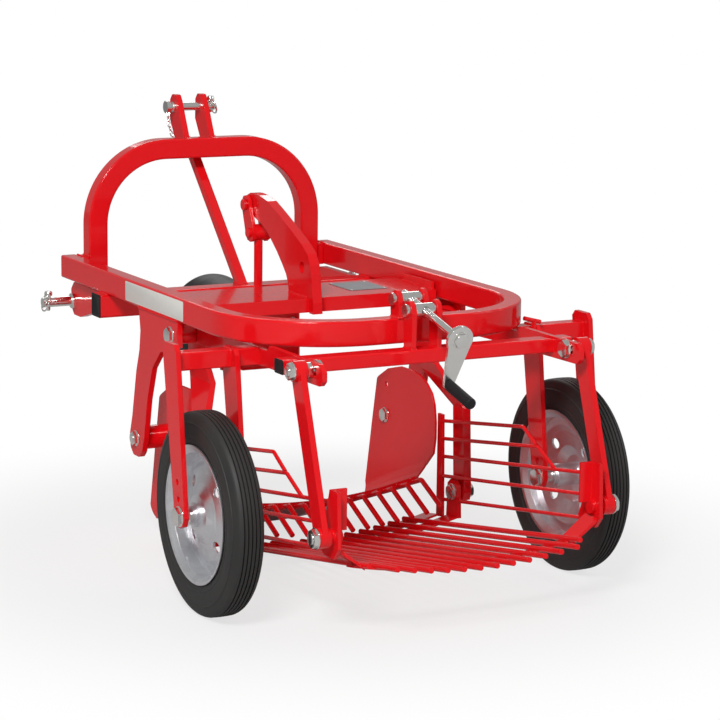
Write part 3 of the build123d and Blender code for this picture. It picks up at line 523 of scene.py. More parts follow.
def tyre_outline(tyre_r, half_width, seat_r):
    """Closed outline (radius, x) of the tyre: seat, sidewall, grooved tread, sidewall."""
    side = [
        (seat_r, half_width - 12), (seat_r + 10, half_width - 6), (seat_r + 15, half_width - 4.6),
        (seat_r + 19, half_width - 2.4), (seat_r + 24, half_width - 1.6), (seat_r + 25, half_width - 0.6),
        (seat_r + 27, half_width - 0.6), (seat_r + 28, half_width - 1.2), (seat_r + 40, half_width),
        (tyre_r - 24, half_width - 1), (tyre_r - 23, half_width - 0.2), (tyre_r - 21, half_width - 0.4),
        (tyre_r - 20, half_width - 1.8), (tyre_r - 14, half_width - 4), (tyre_r - 8, TREAD_HALF + 6.0),
        (tyre_r - 5, TREAD_HALF + 4.5), (tyre_r - 2.6, TREAD_HALF + 2.0), (tyre_r - 1.6, TREAD_HALF),
    ]
    tread = []
    for groove in reversed(GROOVES):
        crown = tyre_r - CROWN * groove * groove
        half = GROOVE_W / 2
        tread += [(crown, groove + half + 0.5), (crown - 0.5, groove + half),
                  (crown - GROOVE_DEEP, groove + half - 0.4), (crown - GROOVE_DEEP, groove - half + 0.4),
                  (crown - 0.5, groove - half), (crown, groove - half - 0.5)]
    return side + tread + [(radius, -x) for radius, x in reversed(side)]


print("grooves", len(GROOVES), "in a tread", 2 * TREAD_HALF, "mm wide")


# %% Turn both tyres


def make_tyres():
    """A ribbed tyre in place of each plain one."""
    for side, _ in SIDES:
        node = f"tyre_{side}"
        low, high = box_mm(node)
        rim_low, rim_high = box_mm(f"rim_{side}")
        seat_r = (rim_high.z - rim_low.z) / 2 - RIM_SEAT
        outline = tyre_outline((high.z - low.z) / 2, (high.x - low.x) / 2, seat_r)
        tyre = turned(f"ribbed_tyre_{side}", outline, (low + high) / 2, tyre_rubber, steps=TYRE_STEPS)
        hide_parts(node)
        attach(tyre, f"wheel_{side}")
        print(tyre.name, len(tyre.data.polygons), "faces")


make_tyres()

# %% [markdown]
# ## Growing repeats with Geometry Nodes
# Nuts, weld beads and chain links are one shape repeated many times. A geometry tree holds the rule, and
# its named inputs hold the sizes. `recipe` starts such a tree, `close_recipe` ends it in real geometry
# with a material, and `grow` runs it on a seed mesh and keeps the result as a plain mesh.

# %% Geometry tree helpers


def recipe(name, inputs):
    """An empty geometry tree with named inputs: the tree, the inputs' identifiers and their wires."""
    tree = bpy.data.node_groups.new(name, "GeometryNodeTree")
    identifiers = {}
    for label, kind in (("Geometry", "NodeSocketGeometry"), *inputs):
        item = tree.interface.new_socket(label, in_out="INPUT", socket_type=kind)
        identifiers[label] = item.identifier
    tree.interface.new_socket("Geometry", in_out="OUTPUT", socket_type="NodeSocketGeometry")
    start = add_node(tree, "NodeGroupInput")
    wires = {label: start.also(label) for label in identifiers}
    return tree, identifiers, wires


def close_recipe(tree, geometry, material):
    """Real geometry instead of instances, in one material, into the tree's output."""
    real = add_node(tree, "GeometryNodeRealizeInstances", None, {"Geometry": geometry})
    painted = add_node(tree, "GeometryNodeSetMaterial", None, {"Geometry": real, "Material": material})
    add_node(tree, "NodeGroupOutput", None, {"Geometry": painted})


def copies_on(tree, points, shape, **turns):
    """Copies of a shape on points, with Rotation and Scale where they are given."""
    return add_node(tree, "GeometryNodeInstanceOnPoints", None,
                    {"Points": points, "Instance": shape, **turns})


def along_z(tree, direction):
    """The turn that lays a shape's own Z along a direction."""
    return add_node(tree, "FunctionNodeAlignRotationToVector", {"axis": "Z"}, {"Vector": direction})


# %% Growing a recipe on a seed


def finished_mesh(name, source, material=None):
    """The evaluated shape of an object as a plain mesh object; the source is deleted."""
    graph = bpy.context.evaluated_depsgraph_get()
    mesh = bpy.data.meshes.new_from_object(source.evaluated_get(graph))
    turn_outwards(mesh)
    if material is not None:
        mesh.materials.clear()
        mesh.materials.append(material)
    mesh.name = name
    piece = new_object(name, mesh)
    bpy.data.objects.remove(source)
    return piece


def grow(name, seed, kit, values):
    """Runs a recipe on a seed object and returns the result as a plain mesh object."""
    tree, identifiers, _ = kit
    modifier = seed.modifiers.new("recipe", "NODES")
    modifier.node_group = tree
    for label, value in values.items():
        modifier[identifiers[label]] = value
    piece = finished_mesh(name, seed)
    shade(piece.data)
    return piece


def seed_mesh(name, points_mm, edges=(), vectors=None):
    """A mesh of points or edges; vectors holds one list of vectors for each attribute name."""
    mesh = bpy.data.meshes.new(name)
    mesh.from_pydata([tuple(Vector(point) * MM) for point in points_mm], list(edges), [])
    for label, column in (vectors or {}).items():
        attribute = mesh.attributes.new(label, "FLOAT_VECTOR", "POINT")
        for item, value in zip(attribute.data, column):
            item.vector = value
    return new_object(name, mesh)


# %% [markdown]
# ## Nuts and bolt heads
# Every pivot ends in a hexagon nut or head on a washer. A real nut's corners are turned off by a cone,
# and that cone leaves curved edges on the flats. The cone could be cut with a Boolean, which leaves a
# poor mesh. So the shape is a skin over rings round its axis: at each angle the hexagon's radius is
# known, and where it stands out past the cone the flat ends lower down. It has unit size, half a width
# over flats and one height, and each copy is stretched to fit its pivot.

# %% A skin over a stack of rings


def skinned(name, rings, material):
    """A skin over rings of as many points each, closed at both ends."""
    count = len(rings[0])
    faces = []
    for level in range(len(rings) - 1):
        base, roof = level * count, (level + 1) * count
        for k in range(count):
            after = (k + 1) % count
            faces.append((base + k, base + after, roof + after, roof + k))
    faces.append(tuple(range((len(rings) - 1) * count, len(rings) * count)))
    faces.append(tuple(reversed(range(count))))
    return mesh_piece(name, [point for ring in rings for point in ring], faces, material)


# %% One nut and one head of unit size
FLATS = 6
WASHER_R, WASHER_TOP, WASHER_EDGE = 1.26, 0.15, 0.03
CONE_FALL = 0.55        # how fast the cone falls outwards


def hexagon_radius(angle):
    """Distance from the axis to a hexagon with flats at distance 1."""
    sector = 2 * math.pi / FLATS
    return 1.0 / math.cos((angle % sector) - sector / 2)


def unit_fastener(name, top, stub_r=None, steps=48):
    """Washer and hexagon up to height top, and with stub_r a bolt's end up to height 1."""
    # radius and height of each ring, where the hexagon has radius h at that angle
    profile = [
        lambda h: (WASHER_R - WASHER_EDGE, 0.0), lambda h: (WASHER_R, WASHER_EDGE),
        lambda h: (WASHER_R, WASHER_TOP - WASHER_EDGE), lambda h: (WASHER_R - WASHER_EDGE, WASHER_TOP),
        lambda h: (h, WASHER_TOP), lambda h: (h, top - CONE_FALL * (h - 0.97)), lambda h: (0.96, top),
    ]
    if stub_r:
        profile += [lambda h: (stub_r, top), lambda h: (stub_r, 0.97), lambda h: (stub_r - 0.06, 1.0)]
    angles = [2 * math.pi * step / steps for step in range(steps)]
    rings = []
    for level in profile:
        sizes = [level(hexagon_radius(angle)) for angle in angles]
        rings.append([Vector((radius * math.cos(angle), radius * math.sin(angle), height)) / MM
                      for angle, (radius, height) in zip(angles, sizes)])
    shape = skinned(name, rings, zinc)
    shape.hide_render = True
    return shape


unit_nut = unit_fastener("unit_nut", top=0.84, stub_r=0.66)
unit_head = unit_fastener("unit_head", top=1.0)
print("patterns", unit_nut.name, unit_head.name)

# %% [markdown]
# ## Setting the fasteners
# Each copy needs a place, a direction and a size. They are points of a seed mesh with two attributes, so
# one small tree serves all pivots, and each body gets one mesh of nuts and one of heads that moves with
# it.

# %% The recipe that sets fasteners on pivots


def vector_attribute(tree, name):
    """A vector that the seed's points carry."""
    return add_node(tree, "GeometryNodeInputNamedAttribute", {"data_type": "FLOAT_VECTOR"}, {"Name": name})


def fastener_recipe():
    """Copies of a fastener on points: attribute out is the direction, attribute size the stretch."""
    kit = recipe("fasteners", (("Fastener", "NodeSocketObject"), ("Plating", "NodeSocketMaterial")))
    tree, _, wires = kit
    shape = add_node(tree, "GeometryNodeObjectInfo", None, {"Object": wires["Fastener"]}, "Geometry")
    turn = along_z(tree, vector_attribute(tree, "out"))
    copies = copies_on(tree, wires["Geometry"], shape, Rotation=turn, Scale=vector_attribute(tree, "size"))
    close_recipe(tree, copies, wires["Plating"])
    return kit


fastener_kit = fastener_recipe()
print("fastener recipe takes", list(fastener_kit[1]))

# %% Sizes of the fasteners
HEADS = (
    # pin node, end, seat's distance from that end, half width over flats, form
    ("link_pin", "outer", 11.5, 14.3, unit_nut),
    ("link_pin", "inner", 10.5, 15.2, unit_head),
    ("frame_axis_pin", "outer", 9.0, 14.2, unit_head),
    ("side_plate_spacer", "outer", 12.0, 13.3, unit_nut),
    ("side_plate_spacer", "inner", 8.0, 13.3, unit_head),
    ("wheel_axle", "outer", 10.0, 16.2, unit_head),
    ("wheel_axle", "inner", 10.0, 16.2, unit_head),
    ("lever_bolt", "outer", 11.5, 14.2, unit_head),
    ("lever_bolt", "inner", 8.5, 14.2, unit_head),
)
COVER = 0.15            # how far a head stands over the plain CAD head below it
LINK_BOSS_R = 20.0      # boss at each end of a rear link
FOOT_BOLT_DEPTH, FOOT_BOLT_HALF = 11.5, 16.2
CRANK_FACE, CRANK_BOSS, CRANK_NUT_HALF = 208.0, 6.0, 13.2
GEAR_BOLT_X, GEAR_BOLT_RISES = 52.0, (20.0, 62.0, 104.0)
GEAR_BOLT_HALF, GEAR_BOLT_HEIGHT = 6.5, 5.5

# %% The seat of every fastener


def end_of(low, high, outward):
    """The end of a box towards +X or -X."""
    return high.x if outward > 0 else low.x


def screw_direction():
    """Direction of the depth screw from its front trunnion to its rear one."""
    along = pivot("screw_nut_swing") - pivot("depth_screw_swing")
    return Vector((0.0, along.y, along.z)).normalized()


def body_of_node(node):
    """The moving body that a CAD node belongs to."""
    for body, nodes in frame["record"]["behaviour"]["bodies"].items():
        if node in nodes:
            return body
    raise KeyError(node)


def pin_rows():
    """(body, form, seat point, outward direction, half width, height) at the ends of the pins."""
    rows = []
    for pin, end, depth, half, form in HEADS:
        for side, sign in SIDES:
            low, high = box_mm(f"{pin}_{side}")
            middle = (low + high) / 2
            outward = sign if end == "outer" else -sign
            seat = (end_of(low, high, outward) - outward * depth, middle.y, middle.z)
            rows.append((body_of_node(f"{pin}_{side}"), form, seat, (outward, 0, 0), half, depth + COVER))
    return rows


def other_rows():
    """The same for the rear links' feet, the crank and the gearbox."""
    rows = []
    for side, sign in SIDES:
        link_low, _ = box_mm(f"rear_link_{side}")
        tip = end_of(*box_mm(f"sieve_side_{side}"), sign)
        seat = (tip - sign * FOOT_BOLT_DEPTH, link_low.y + LINK_BOSS_R, link_low.z + LINK_BOSS_R)
        rows.append(("sieve", unit_nut, seat, (sign, 0, 0), FOOT_BOLT_HALF, FOOT_BOLT_DEPTH + COVER))
    along = screw_direction()
    seat = tuple(pivot("depth_screw_swing") + along * CRANK_FACE)
    rows.append(("depth_screw", unit_nut, seat, tuple(along), CRANK_NUT_HALF, CRANK_BOSS + COVER))
    low, _ = box_mm("gearbox")
    for x in (-GEAR_BOLT_X, GEAR_BOLT_X):
        for rise in GEAR_BOLT_RISES:
            seat = (x, low.y, low.z + rise)
            rows.append(("root", unit_head, seat, (0, -1, 0), GEAR_BOLT_HALF, GEAR_BOLT_HEIGHT))
    return rows


seats = pin_rows() + other_rows()
print("fasteners", len(seats))

# %% Set them, one mesh for each body and form


def set_fasteners():
    """Nuts and heads on all seats, one mesh for each body and form."""
    for body in sorted({row[0] for row in seats}):
        for form in (unit_nut, unit_head):
            mine = [row[2:] for row in seats if row[0] == body and row[1] is form]
            if not mine:
                continue
            places, directions, halves, heights = zip(*mine)
            seed = seed_mesh("pivots", places, (), {
                "out": directions,
                "size": [(half * MM, half * MM, height * MM) for half, height in zip(halves, heights)],
            })
            kind = form.name.removeprefix("unit_")
            piece = grow(f"{kind}s_on_{body}", seed, fastener_kit, {"Fastener": form, "Plating": zinc})
            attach(piece, body)
            print(piece.name, len(mine))


set_fasteners()

# %% [markdown]
# ## The thread of the depth screw
# Turning the crank draws the rear trunnion along a coarse thread. Cutting a true thread would cost
# thousands of faces. A spiral of round wire, half sunk into the plain rod, shows the same crests. The
# spiral grows along Z, and the recipe turns it to the screw's own direction.

# %% A spiral thread
THREAD = {"Crest radius": 7.3, "Pitch": 3.2, "Length": 92.0, "Wire": 0.5}
THREAD_START = 14.0     # from the front trunnion


def thread_recipe():
    """A spiral of round wire at a point, turned to a direction."""
    labels = [(label, "NodeSocketFloat") for label in THREAD]
    kit = recipe("thread", (*labels, ("Direction", "NodeSocketVector"), ("Plating", "NodeSocketMaterial")))
    tree, _, wires = kit
    crest_r, length = wires["Crest radius"], wires["Length"]
    spiral = add_node(tree, "GeometryNodeCurveSpiral", None, {
        "Resolution": 20, "Rotations": length / wires["Pitch"], "Start Radius": crest_r,
        "End Radius": crest_r, "Height": length})
    section = add_node(tree, "GeometryNodeCurvePrimitiveCircle", None,
                       {"Resolution": 6, "Radius": wires["Wire"]})
    crest = add_node(tree, "GeometryNodeCurveToMesh", None,
                     {"Curve": spiral, "Profile Curve": section, "Fill Caps": True})
    turn = along_z(tree, wires["Direction"])
    close_recipe(tree, copies_on(tree, wires["Geometry"], crest, Rotation=turn), wires["Plating"])
    return kit


def cut_thread():
    """The screw's thread, from the front trunnion backwards."""
    start = pivot("depth_screw_swing") + screw_direction() * THREAD_START
    values = {label: size * MM for label, size in THREAD.items()}
    thread = grow("screw_thread", seed_mesh("thread_start", [start]), thread_recipe(),
                  {**values, "Direction": screw_direction(), "Plating": zinc})
    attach(thread, "depth_screw")
    print("thread", len(thread.data.polygons), "faces")


cut_thread()

# %% [markdown]
# ## Weld beads
# A hand weld is a row of small overlapping scales, coated like the rest. A swept tube along the seam
# would be too smooth. So the recipe takes lines, sets points along them and puts a flattened bead on
# each, and every bead differs a little in size. Each line is a seam between two real pieces.

# %% The bead recipe
BEAD_SIZES, BEAD_SEED, BEAD_FLATNESS = (0.82, 1.08), 7, 0.75
BEAD_STEP = 0.9         # in bead radii


def points_along(tree, mesh, step):
    """Points at even steps along the edges of a mesh; their other outputs hold the turns."""
    lines = add_node(tree, "GeometryNodeMeshToCurve", None, {"Mesh": mesh})
    return add_node(tree, "GeometryNodeCurveToPoints", {"mode": "LENGTH"}, {"Curve": lines, "Length": step})


def bead_recipe():
    """Flattened beads along the edges of a mesh."""
    kit = recipe("weld_beads", (("Step", "NodeSocketFloat"), ("Bead radius", "NodeSocketFloat"),
                                ("Coat", "NodeSocketMaterial")))
    tree, _, wires = kit
    points = points_along(tree, wires["Geometry"], wires["Step"])
    bead = add_node(tree, "GeometryNodeMeshUVSphere", None,
                    {"Segments": 8, "Rings": 6, "Radius": wires["Bead radius"]})
    random_size = add_node(tree, "FunctionNodeRandomValue", {"data_type": "FLOAT"},
                           {"Min": BEAD_SIZES[0], "Max": BEAD_SIZES[1], "Seed": BEAD_SEED}, 1)
    flat = add_node(tree, "ShaderNodeCombineXYZ", None,
                    {"X": random_size, "Y": random_size, "Z": BEAD_FLATNESS})
    copies = copies_on(tree, points, bead, Rotation=points.also("Rotation"), Scale=flat)
    close_recipe(tree, copies, wires["Coat"])
    return kit


bead_kit = bead_recipe()
print("bead recipe takes", list(bead_kit[1]))

# %% Sizes at the seams, and two closed seams
RAIL_WIDTH, RAIL_HEIGHT = 36.0, 50.0
ARCH_GAP = 14.0                     # between a leg of the arch and the rail
BRACKET_TOE = 52.0                  # a side bracket reaches this far past its upper edge
BRACE_HALF, BRACE_FOOT = 10.0, 28.0 # the leaning brace: half its width, and its foot's length
LUG_FACES, LUG_HALF = ((-44.0, -34.0), (12.0, 22.0)), 16.0
REAR_BAR_HEIGHT = 28.0
WHEEL_BAR_Y, WHEEL_BAR_Z = (33.0, 68.0), (476.0, 511.0)
FORK_GAP_IN, FORK_GAP_OUT, FORK_LEG = 28.0, 19.0, 10.0
CHANNEL_END_RISE = 16.0             # the channel's end plates stand this far over its roof
CHANNEL_END_X, CHANNEL_END_Y = 288.0, (378.0, 508.0)
ARM_HALF, ARM_FOOT_IN, ARM_FOOT_Y1 = 11.0, 52.0, 466.0
INSET = 2.0                         # a seam ends this far inside the corner


def ring_x(x, y0, y1, z0, z1):
    """Closed seam round a rectangle in a plane across X."""
    return [(x, y0, z0), (x, y1, z0), (x, y1, z1), (x, y0, z1), (x, y0, z0)]


def ring_z(z, x0, x1, y0, y1):
    """Closed seam round a rectangle in a level plane."""
    return [(x0, y0, z), (x1, y0, z), (x1, y1, z), (x0, y1, z), (x0, y0, z)]


# %% Seams of the fixed frame


def side_seams(side, sign):
    """Seams on one side of the fixed frame, by the boxes of the pieces that they join."""
    tube_low, tube_high = box_mm("hitch_cross_tube")
    arch_low, arch_high = box_mm("headstock_arch")
    _, rail_high = box_mm("main_u_frame")
    rail_top = arch_low.z + RAIL_HEIGHT
    rail_out = sign * rail_high.x
    rail_in = rail_out - sign * RAIL_WIDTH
    seams = []
    ear_low, ear_high = box_mm(f"top_link_ear_{side}")
    for x in (ear_low.x, ear_high.x):
        seams.append([(x, ear_low.y + 1, ear_low.z + 3), (x, ear_low.y + 1, arch_high.z - INSET)])
    seams.append([(x, ear_low.y, arch_high.z - 1) for x in (ear_low.x, ear_high.x)])
    for x in (rail_in, rail_in - sign * ARCH_GAP):
        seams.append([(x, arch_low.y + 3, rail_top), (x, arch_high.y - 3, rail_top)])
    for x in (rail_in, rail_out):
        seams.append([(x, tube_low.y + 3, tube_high.z), (x, tube_high.y - 3, tube_high.z)])
    plate_low, plate_high = box_mm(f"hitch_bracket_{side}")
    for x in (plate_low.x, plate_high.x):
        seams.append([(x, tube_high.y, tube_low.z + 4), (x, tube_high.y, plate_high.z - 3)])
    bracket_low, bracket_high = box_mm(f"side_bracket_{side}")
    for x in (bracket_low.x, bracket_high.x):
        seams.append([(x, bracket_low.y + 4, bracket_high.z),
                      (x, bracket_high.y - BRACKET_TOE, bracket_high.z)])
    return seams


def lug_seams(pivot_name, foot_z):
    """Seams round the feet of the two screw lugs."""
    y = pivot(pivot_name).y
    return [ring_z(foot_z, x0, x1, y - LUG_HALF, y + LUG_HALF) for x0, x1 in LUG_FACES]


def frame_seams():
    """All seams of the fixed frame."""
    seams = side_seams("left", -1) + side_seams("right", 1)
    brace_low, _ = box_mm("mast_brace")
    _, tube_high = box_mm("hitch_cross_tube")
    foot_y = brace_low.y + 0.5
    seams.append(ring_z(tube_high.z, -BRACE_HALF, BRACE_HALF, foot_y, foot_y + BRACE_FOOT))
    rail_low, _ = box_mm("main_u_frame")
    return seams + lug_seams("depth_screw_swing", rail_low.z + RAIL_HEIGHT)


seams_on_frame = frame_seams()
print("seams on the frame", len(seams_on_frame))

# %% Seams of the parts that move


def bar_ring(x):
    """Seam round the square wheel bar at x."""
    (y0, y1), (z0, z1) = WHEEL_BAR_Y, WHEEL_BAR_Z
    return ring_x(x, y0 + INSET, y1 - INSET, z0 + INSET, z1 - INSET)


def depth_frame_seams():
    """Seams of the bars, arms and forks that carry the wheels."""
    bar_low, bar_high = box_mm("rear_bar")
    bar_top = bar_low.z + REAR_BAR_HEIGHT
    seams = lug_seams("screw_nut_swing", bar_top)
    for side, sign in SIDES:
        seams.append(ring_x(sign * bar_high.x, bar_low.y + INSET, bar_high.y - INSET,
                            bar_low.z + INSET, bar_top - INSET))
        seams.append(bar_ring(end_of(*box_mm(f"side_arm_{side}"), sign)))
        tyre_in, tyre_out = sorted(abs(corner.x) for corner in box_mm(f"tyre_{side}"))
        leg_in = tyre_in - FORK_GAP_IN
        for x in (leg_in - FORK_LEG, leg_in, tyre_out + FORK_GAP_OUT):
            seams.append(bar_ring(sign * x))
    return seams


def channel_roof():
    """Height of the rocking channel's flat roof."""
    return box_mm("cross_channel")[1].z - CHANNEL_END_RISE


def rocker_seams():
    """Seams of the rocking channel, its arm and its end plates."""
    low, _ = box_mm("cross_channel")
    roof = channel_roof()
    seams = [[(x, low.y + ARM_FOOT_IN, roof), (x, ARM_FOOT_Y1, roof)] for x in (-ARM_HALF, ARM_HALF)]
    for _, sign in SIDES:
        seams.append([(sign * CHANNEL_END_X, y, roof) for y in CHANNEL_END_Y])
    return seams


# %% Lay the beads


def lay_beads(name, body, seams, radius_mm):
    """Beads along all seams of one body, as one mesh."""
    points, edges = [], []
    for seam in seams:
        start = len(points)
        points += seam
        edges += [(start + k, start + k + 1) for k in range(len(seam) - 1)]
    piece = grow(name, seed_mesh("seams", points, edges), bead_kit,
                 {"Step": BEAD_STEP * radius_mm * MM, "Bead radius": radius_mm * MM, "Coat": red})
    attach(piece, body)
    print(name, len(seams), "seams,", len(piece.data.polygons), "faces")


lay_beads("welds_on_frame", "root", seams_on_frame, 3.0)
lay_beads("welds_on_depth_frame", "depth_frame", depth_frame_seams(), 2.6)
lay_beads("welds_on_rocker", "rocker", rocker_seams(), 2.8)

# %% [markdown]
# ## Caps in the open tube ends
# The rails and the hitch tube are cut square, and a black plastic cap is pressed into each end. It has a
# flat flange with soft corners that covers the tube's edge, and a shallow dish in the middle. A cube with
# a bevel would miss the dish, so the cap is a skin over round-cornered rectangles, stacked outwards from
# the tube.

# %% Round-cornered stacks
RIGHTWARDS, LEFTWARDS = (1, 0, 0), (-1, 0, 0)
FORWARDS, UPWARDS = (0, 1, 0), (0, 0, 1)


def rounded_rectangle(half_w, half_h, radius, steps=5):
    """Points of a rectangle with round corners."""
    points = []
    for quarter, (sx, sy) in enumerate(((1, 1), (-1, 1), (-1, -1), (1, -1))):
        for step in range(steps + 1):
            angle = math.pi / 2 * (quarter + step / steps)
            points.append((sx * (half_w - radius) + radius * math.cos(angle),
                           sy * (half_h - radius) + radius * math.sin(angle)))
    return points


def stacked(name, levels, place, axes, material):
    """Round-cornered rectangles (half width, half height, corner, distance) stacked from a place."""
    across, upward, outward = (Vector(axis) for axis in axes)
    rings = []
    for half_w, half_h, corner, distance in levels:
        centre = Vector(place) + outward * distance
        rings.append([centre + across * a + upward * b
                      for a, b in rounded_rectangle(half_w, half_h, corner)])
    return skinned(name, rings, material)


# %% Tube caps
CAP_FLANGE = 1.6
TUBE_CORNER = 4.0


def cap_piece(name, place, axes, half_w, half_h):
    """A cap whose flange lies on the tube's end at place."""
    # inset from the flange's edge, and height over the tube's end
    steps = ((0.3, 0.0), (0.0, 0.4), (0.0, CAP_FLANGE - 0.5), (0.6, CAP_FLANGE), (5.0, CAP_FLANGE),
             (6.0, CAP_FLANGE - 0.9))
    levels = [(half_w - inset, half_h - inset, min(TUBE_CORNER, half_w - inset - 0.5), height)
              for inset, height in steps]
    return stacked(name, levels, place, axes, black_plastic)


def make_caps():
    """Caps in the ends of both rails and of the hitch tube."""
    rail_low, rail_high = box_mm("main_u_frame")
    tube_low, tube_high = box_mm("hitch_cross_tube")
    tube_half_y, tube_half_z = (tube_high.y - tube_low.y) / 2, (tube_high.z - tube_low.z) / 2
    caps = []
    for side, sign in SIDES:
        end = (sign * (rail_high.x - RAIL_WIDTH / 2), rail_high.y, rail_low.z + RAIL_HEIGHT / 2)
        axes = (RIGHTWARDS, UPWARDS, FORWARDS)
        caps.append(cap_piece(f"rail_cap_{side}", end, axes, RAIL_WIDTH / 2, RAIL_HEIGHT / 2))
        end = (sign * tube_high.x, tube_low.y + tube_half_y, tube_low.z + tube_half_z)
        axes = (FORWARDS, UPWARDS, (sign, 0, 0))
        caps.append(cap_piece(f"tube_cap_{side}", end, axes, tube_half_y, tube_half_z))
    for cap in caps:
        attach(cap, "root")
    print("caps", len(caps))


make_caps()

# %% [markdown]
# ## Ends of the rear bar
# The rear bar of the depth frame runs through the side arms, and its short ends stand out beside the
# links. Each end is a stub of the same tube, made as another stack, with a cap of its own.

# %% Stubs and their caps
STUB_END, STUB_INSET = 318.0, 1.0


def make_bar_ends():
    """A stub and its cap at each side of the rear bar."""
    bar_low, bar_high = box_mm("rear_bar")
    middle_y, half_h = (bar_low.y + bar_high.y) / 2, REAR_BAR_HEIGHT / 2
    half_w = (bar_high.y - bar_low.y) / 2 - STUB_INSET
    middle_z = bar_low.z + half_h
    for side, sign in SIDES:
        arm_face = end_of(*box_mm(f"side_arm_{side}"), sign)
        axes = (FORWARDS, UPWARDS, (sign, 0, 0))
        levels = [(half_w, half_h, TUBE_CORNER, distance) for distance in (0.0, STUB_END - abs(arm_face))]
        stub = stacked(f"rear_bar_end_{side}", levels, (arm_face, middle_y, middle_z), axes, red)
        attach(stub, "depth_frame")
        end = (sign * STUB_END, middle_y, middle_z)
        cap = cap_piece(f"rear_bar_cap_{side}", end, axes, half_w, half_h)
        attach(cap, "depth_frame")
        print(stub.name, "reaches", STUB_END)


make_bar_ends()

# %% [markdown]
# ## Lynch pins
# A lynch pin drops through a cross hole near a hitch pin's end. Its head holds a sprung ring, which snaps
# over the hitch pin and keeps it in. A torus would do for a ring that lies flat, but this one leans. So
# the pin is turned, and the ring is a closed wire in a leaning plane.

# %% Upright turning, closed wires and joined pieces


def turned_upright(name, outline, place_mm, material, steps):
    """Spins an outline of (radius, height) points round an upright axis through place."""
    piece = turned(name, outline, (0, 0, 0), material, steps, closed=False)
    piece.data.transform(Matrix.Rotation(-math.pi / 2, 4, "Y"))
    piece.data.transform(Matrix.Translation(Vector(place_mm) * MM))
    return piece


def closed_wire(name, points_mm, radius_mm, material):
    """A round wire along a smooth closed line near the points."""
    curve = bpy.data.curves.new(name, "CURVE")
    curve.dimensions = "3D"
    curve.bevel_depth = radius_mm * MM
    curve.bevel_resolution = 3
    curve.resolution_u = 6
    line = curve.splines.new("NURBS")
    line.points.add(len(points_mm) - 1)
    for point, place in zip(line.points, points_mm):
        point.co = (*(Vector(place) * MM), 1.0)
    line.order_u = 3
    line.use_cyclic_u = True
    piece = finished_mesh(name, new_object(name + "_line", curve), material)
    piece.data.shade_smooth()
    return piece


def joined(name, pieces):
    """Several meshes as one."""
    work = bmesh.new()
    for piece in pieces:
        work.from_mesh(piece.data)
    mesh = bpy.data.meshes.new(name)
    work.to_mesh(mesh)
    work.free()
    for material in pieces[0].data.materials:
        mesh.materials.append(material)
    shade(mesh)
    for piece in pieces:
        bpy.data.objects.remove(piece)
    return new_object(name, mesh)


# %% Lynch pins and their rings
RING_WIRE = 2.1
RING_OUT, RING_DOWN = 0.30, -0.954          # the ring hangs, and its lower half leans outwards
LOWER_LYNCH = {"drop": 19, "rise": 14, "pin_r": 4.3, "ring_r": 20}
TOP_LYNCH = {"drop": 15, "rise": 12, "pin_r": 3.8, "ring_r": 18}
LOWER_HOLE_IN, TOP_HOLE_IN = 14.0, 10.0     # holes, from the hitch pins' ends
EYE_OUT, EYE_RISE = 5.5, 5.0                # the ring's eye, beside the pin and over its head's foot
RING_HANG = 0.93                            # share of the ring's radius that hangs below the eye


def circle_points(centre, radius, across, upward, count=12):
    """Points round a circle, for a closed smooth wire."""
    reach = radius / math.cos(math.pi / count) ** 0.5
    return [Vector(centre) + Vector(across) * reach * math.cos(2 * math.pi * k / count)
            + Vector(upward) * reach * math.sin(2 * math.pi * k / count) for k in range(count)]


def lynch_pin(name, hole, sign, drop, rise, pin_r, ring_r):
    """Pin down through a hole, a block head, and a ring round the hitch pin's end."""
    # radius and height over the hole's middle, from the tip up
    tip = [(0.01, -drop), (pin_r - 1.5, -drop), (pin_r, -drop + 3), (pin_r, rise - 1)]
    head = [(pin_r + 3, rise), (pin_r + 4.5, rise + 2), (pin_r + 4.5, rise + 8), (pin_r + 2.5, rise + 11),
            (0.01, rise + 11.5)]
    shank = turned_upright(name + "_shank", tip + head, hole, zinc, steps=32)
    lean = (sign * RING_OUT, 0.0, RING_DOWN)
    centre = Vector(hole) + Vector((sign * EYE_OUT, 0, rise + EYE_RISE - ring_r * RING_HANG))
    ring = closed_wire(name + "_ring", circle_points(centre, ring_r, FORWARDS, lean), RING_WIRE, zinc)
    return [shank, ring]


def make_lynch_pins():
    """One lynch pin in each of the three hitch pins."""
    pieces = []
    for side, sign in SIDES:
        low, high = box_mm(f"lower_link_pin_{side}")
        tip = end_of(low, high, sign)
        hole = (tip - sign * LOWER_HOLE_IN, (low.y + high.y) / 2, (low.z + high.z) / 2)
        pieces += lynch_pin(f"lynch_{side}", hole, sign, **LOWER_LYNCH)
    low, high = box_mm("top_link_pin")
    hole = (high.x - TOP_HOLE_IN, (low.y + high.y) / 2, (low.z + high.z) / 2)
    pieces += lynch_pin("lynch_top", hole, 1, **TOP_LYNCH)
    pins = joined("lynch_pins", pieces)
    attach(pins, "root")
    print("lynch pins", len(pins.data.polygons), "faces")


make_lynch_pins()

# %% [markdown]
# ## The chain of the top pin
# A short chain keeps the loose pin with the machine. It hangs from the pin's head down to the arch. Links
# could be placed one by one, but then a change of route means placing all again. So the recipe walks
# along a line and turns every second link by a quarter about it, because links stand at right angles to
# their neighbours.

# %% One link, and the recipe
LINK_LENGTH, LINK_WIDTH, LINK_WIRE = 15.0, 9.0, 1.5
LINK_PITCH = LINK_LENGTH - 2.2 * LINK_WIRE
LINK_TWIST = 0.5        # all links are turned by this, so that none lies square to the arch


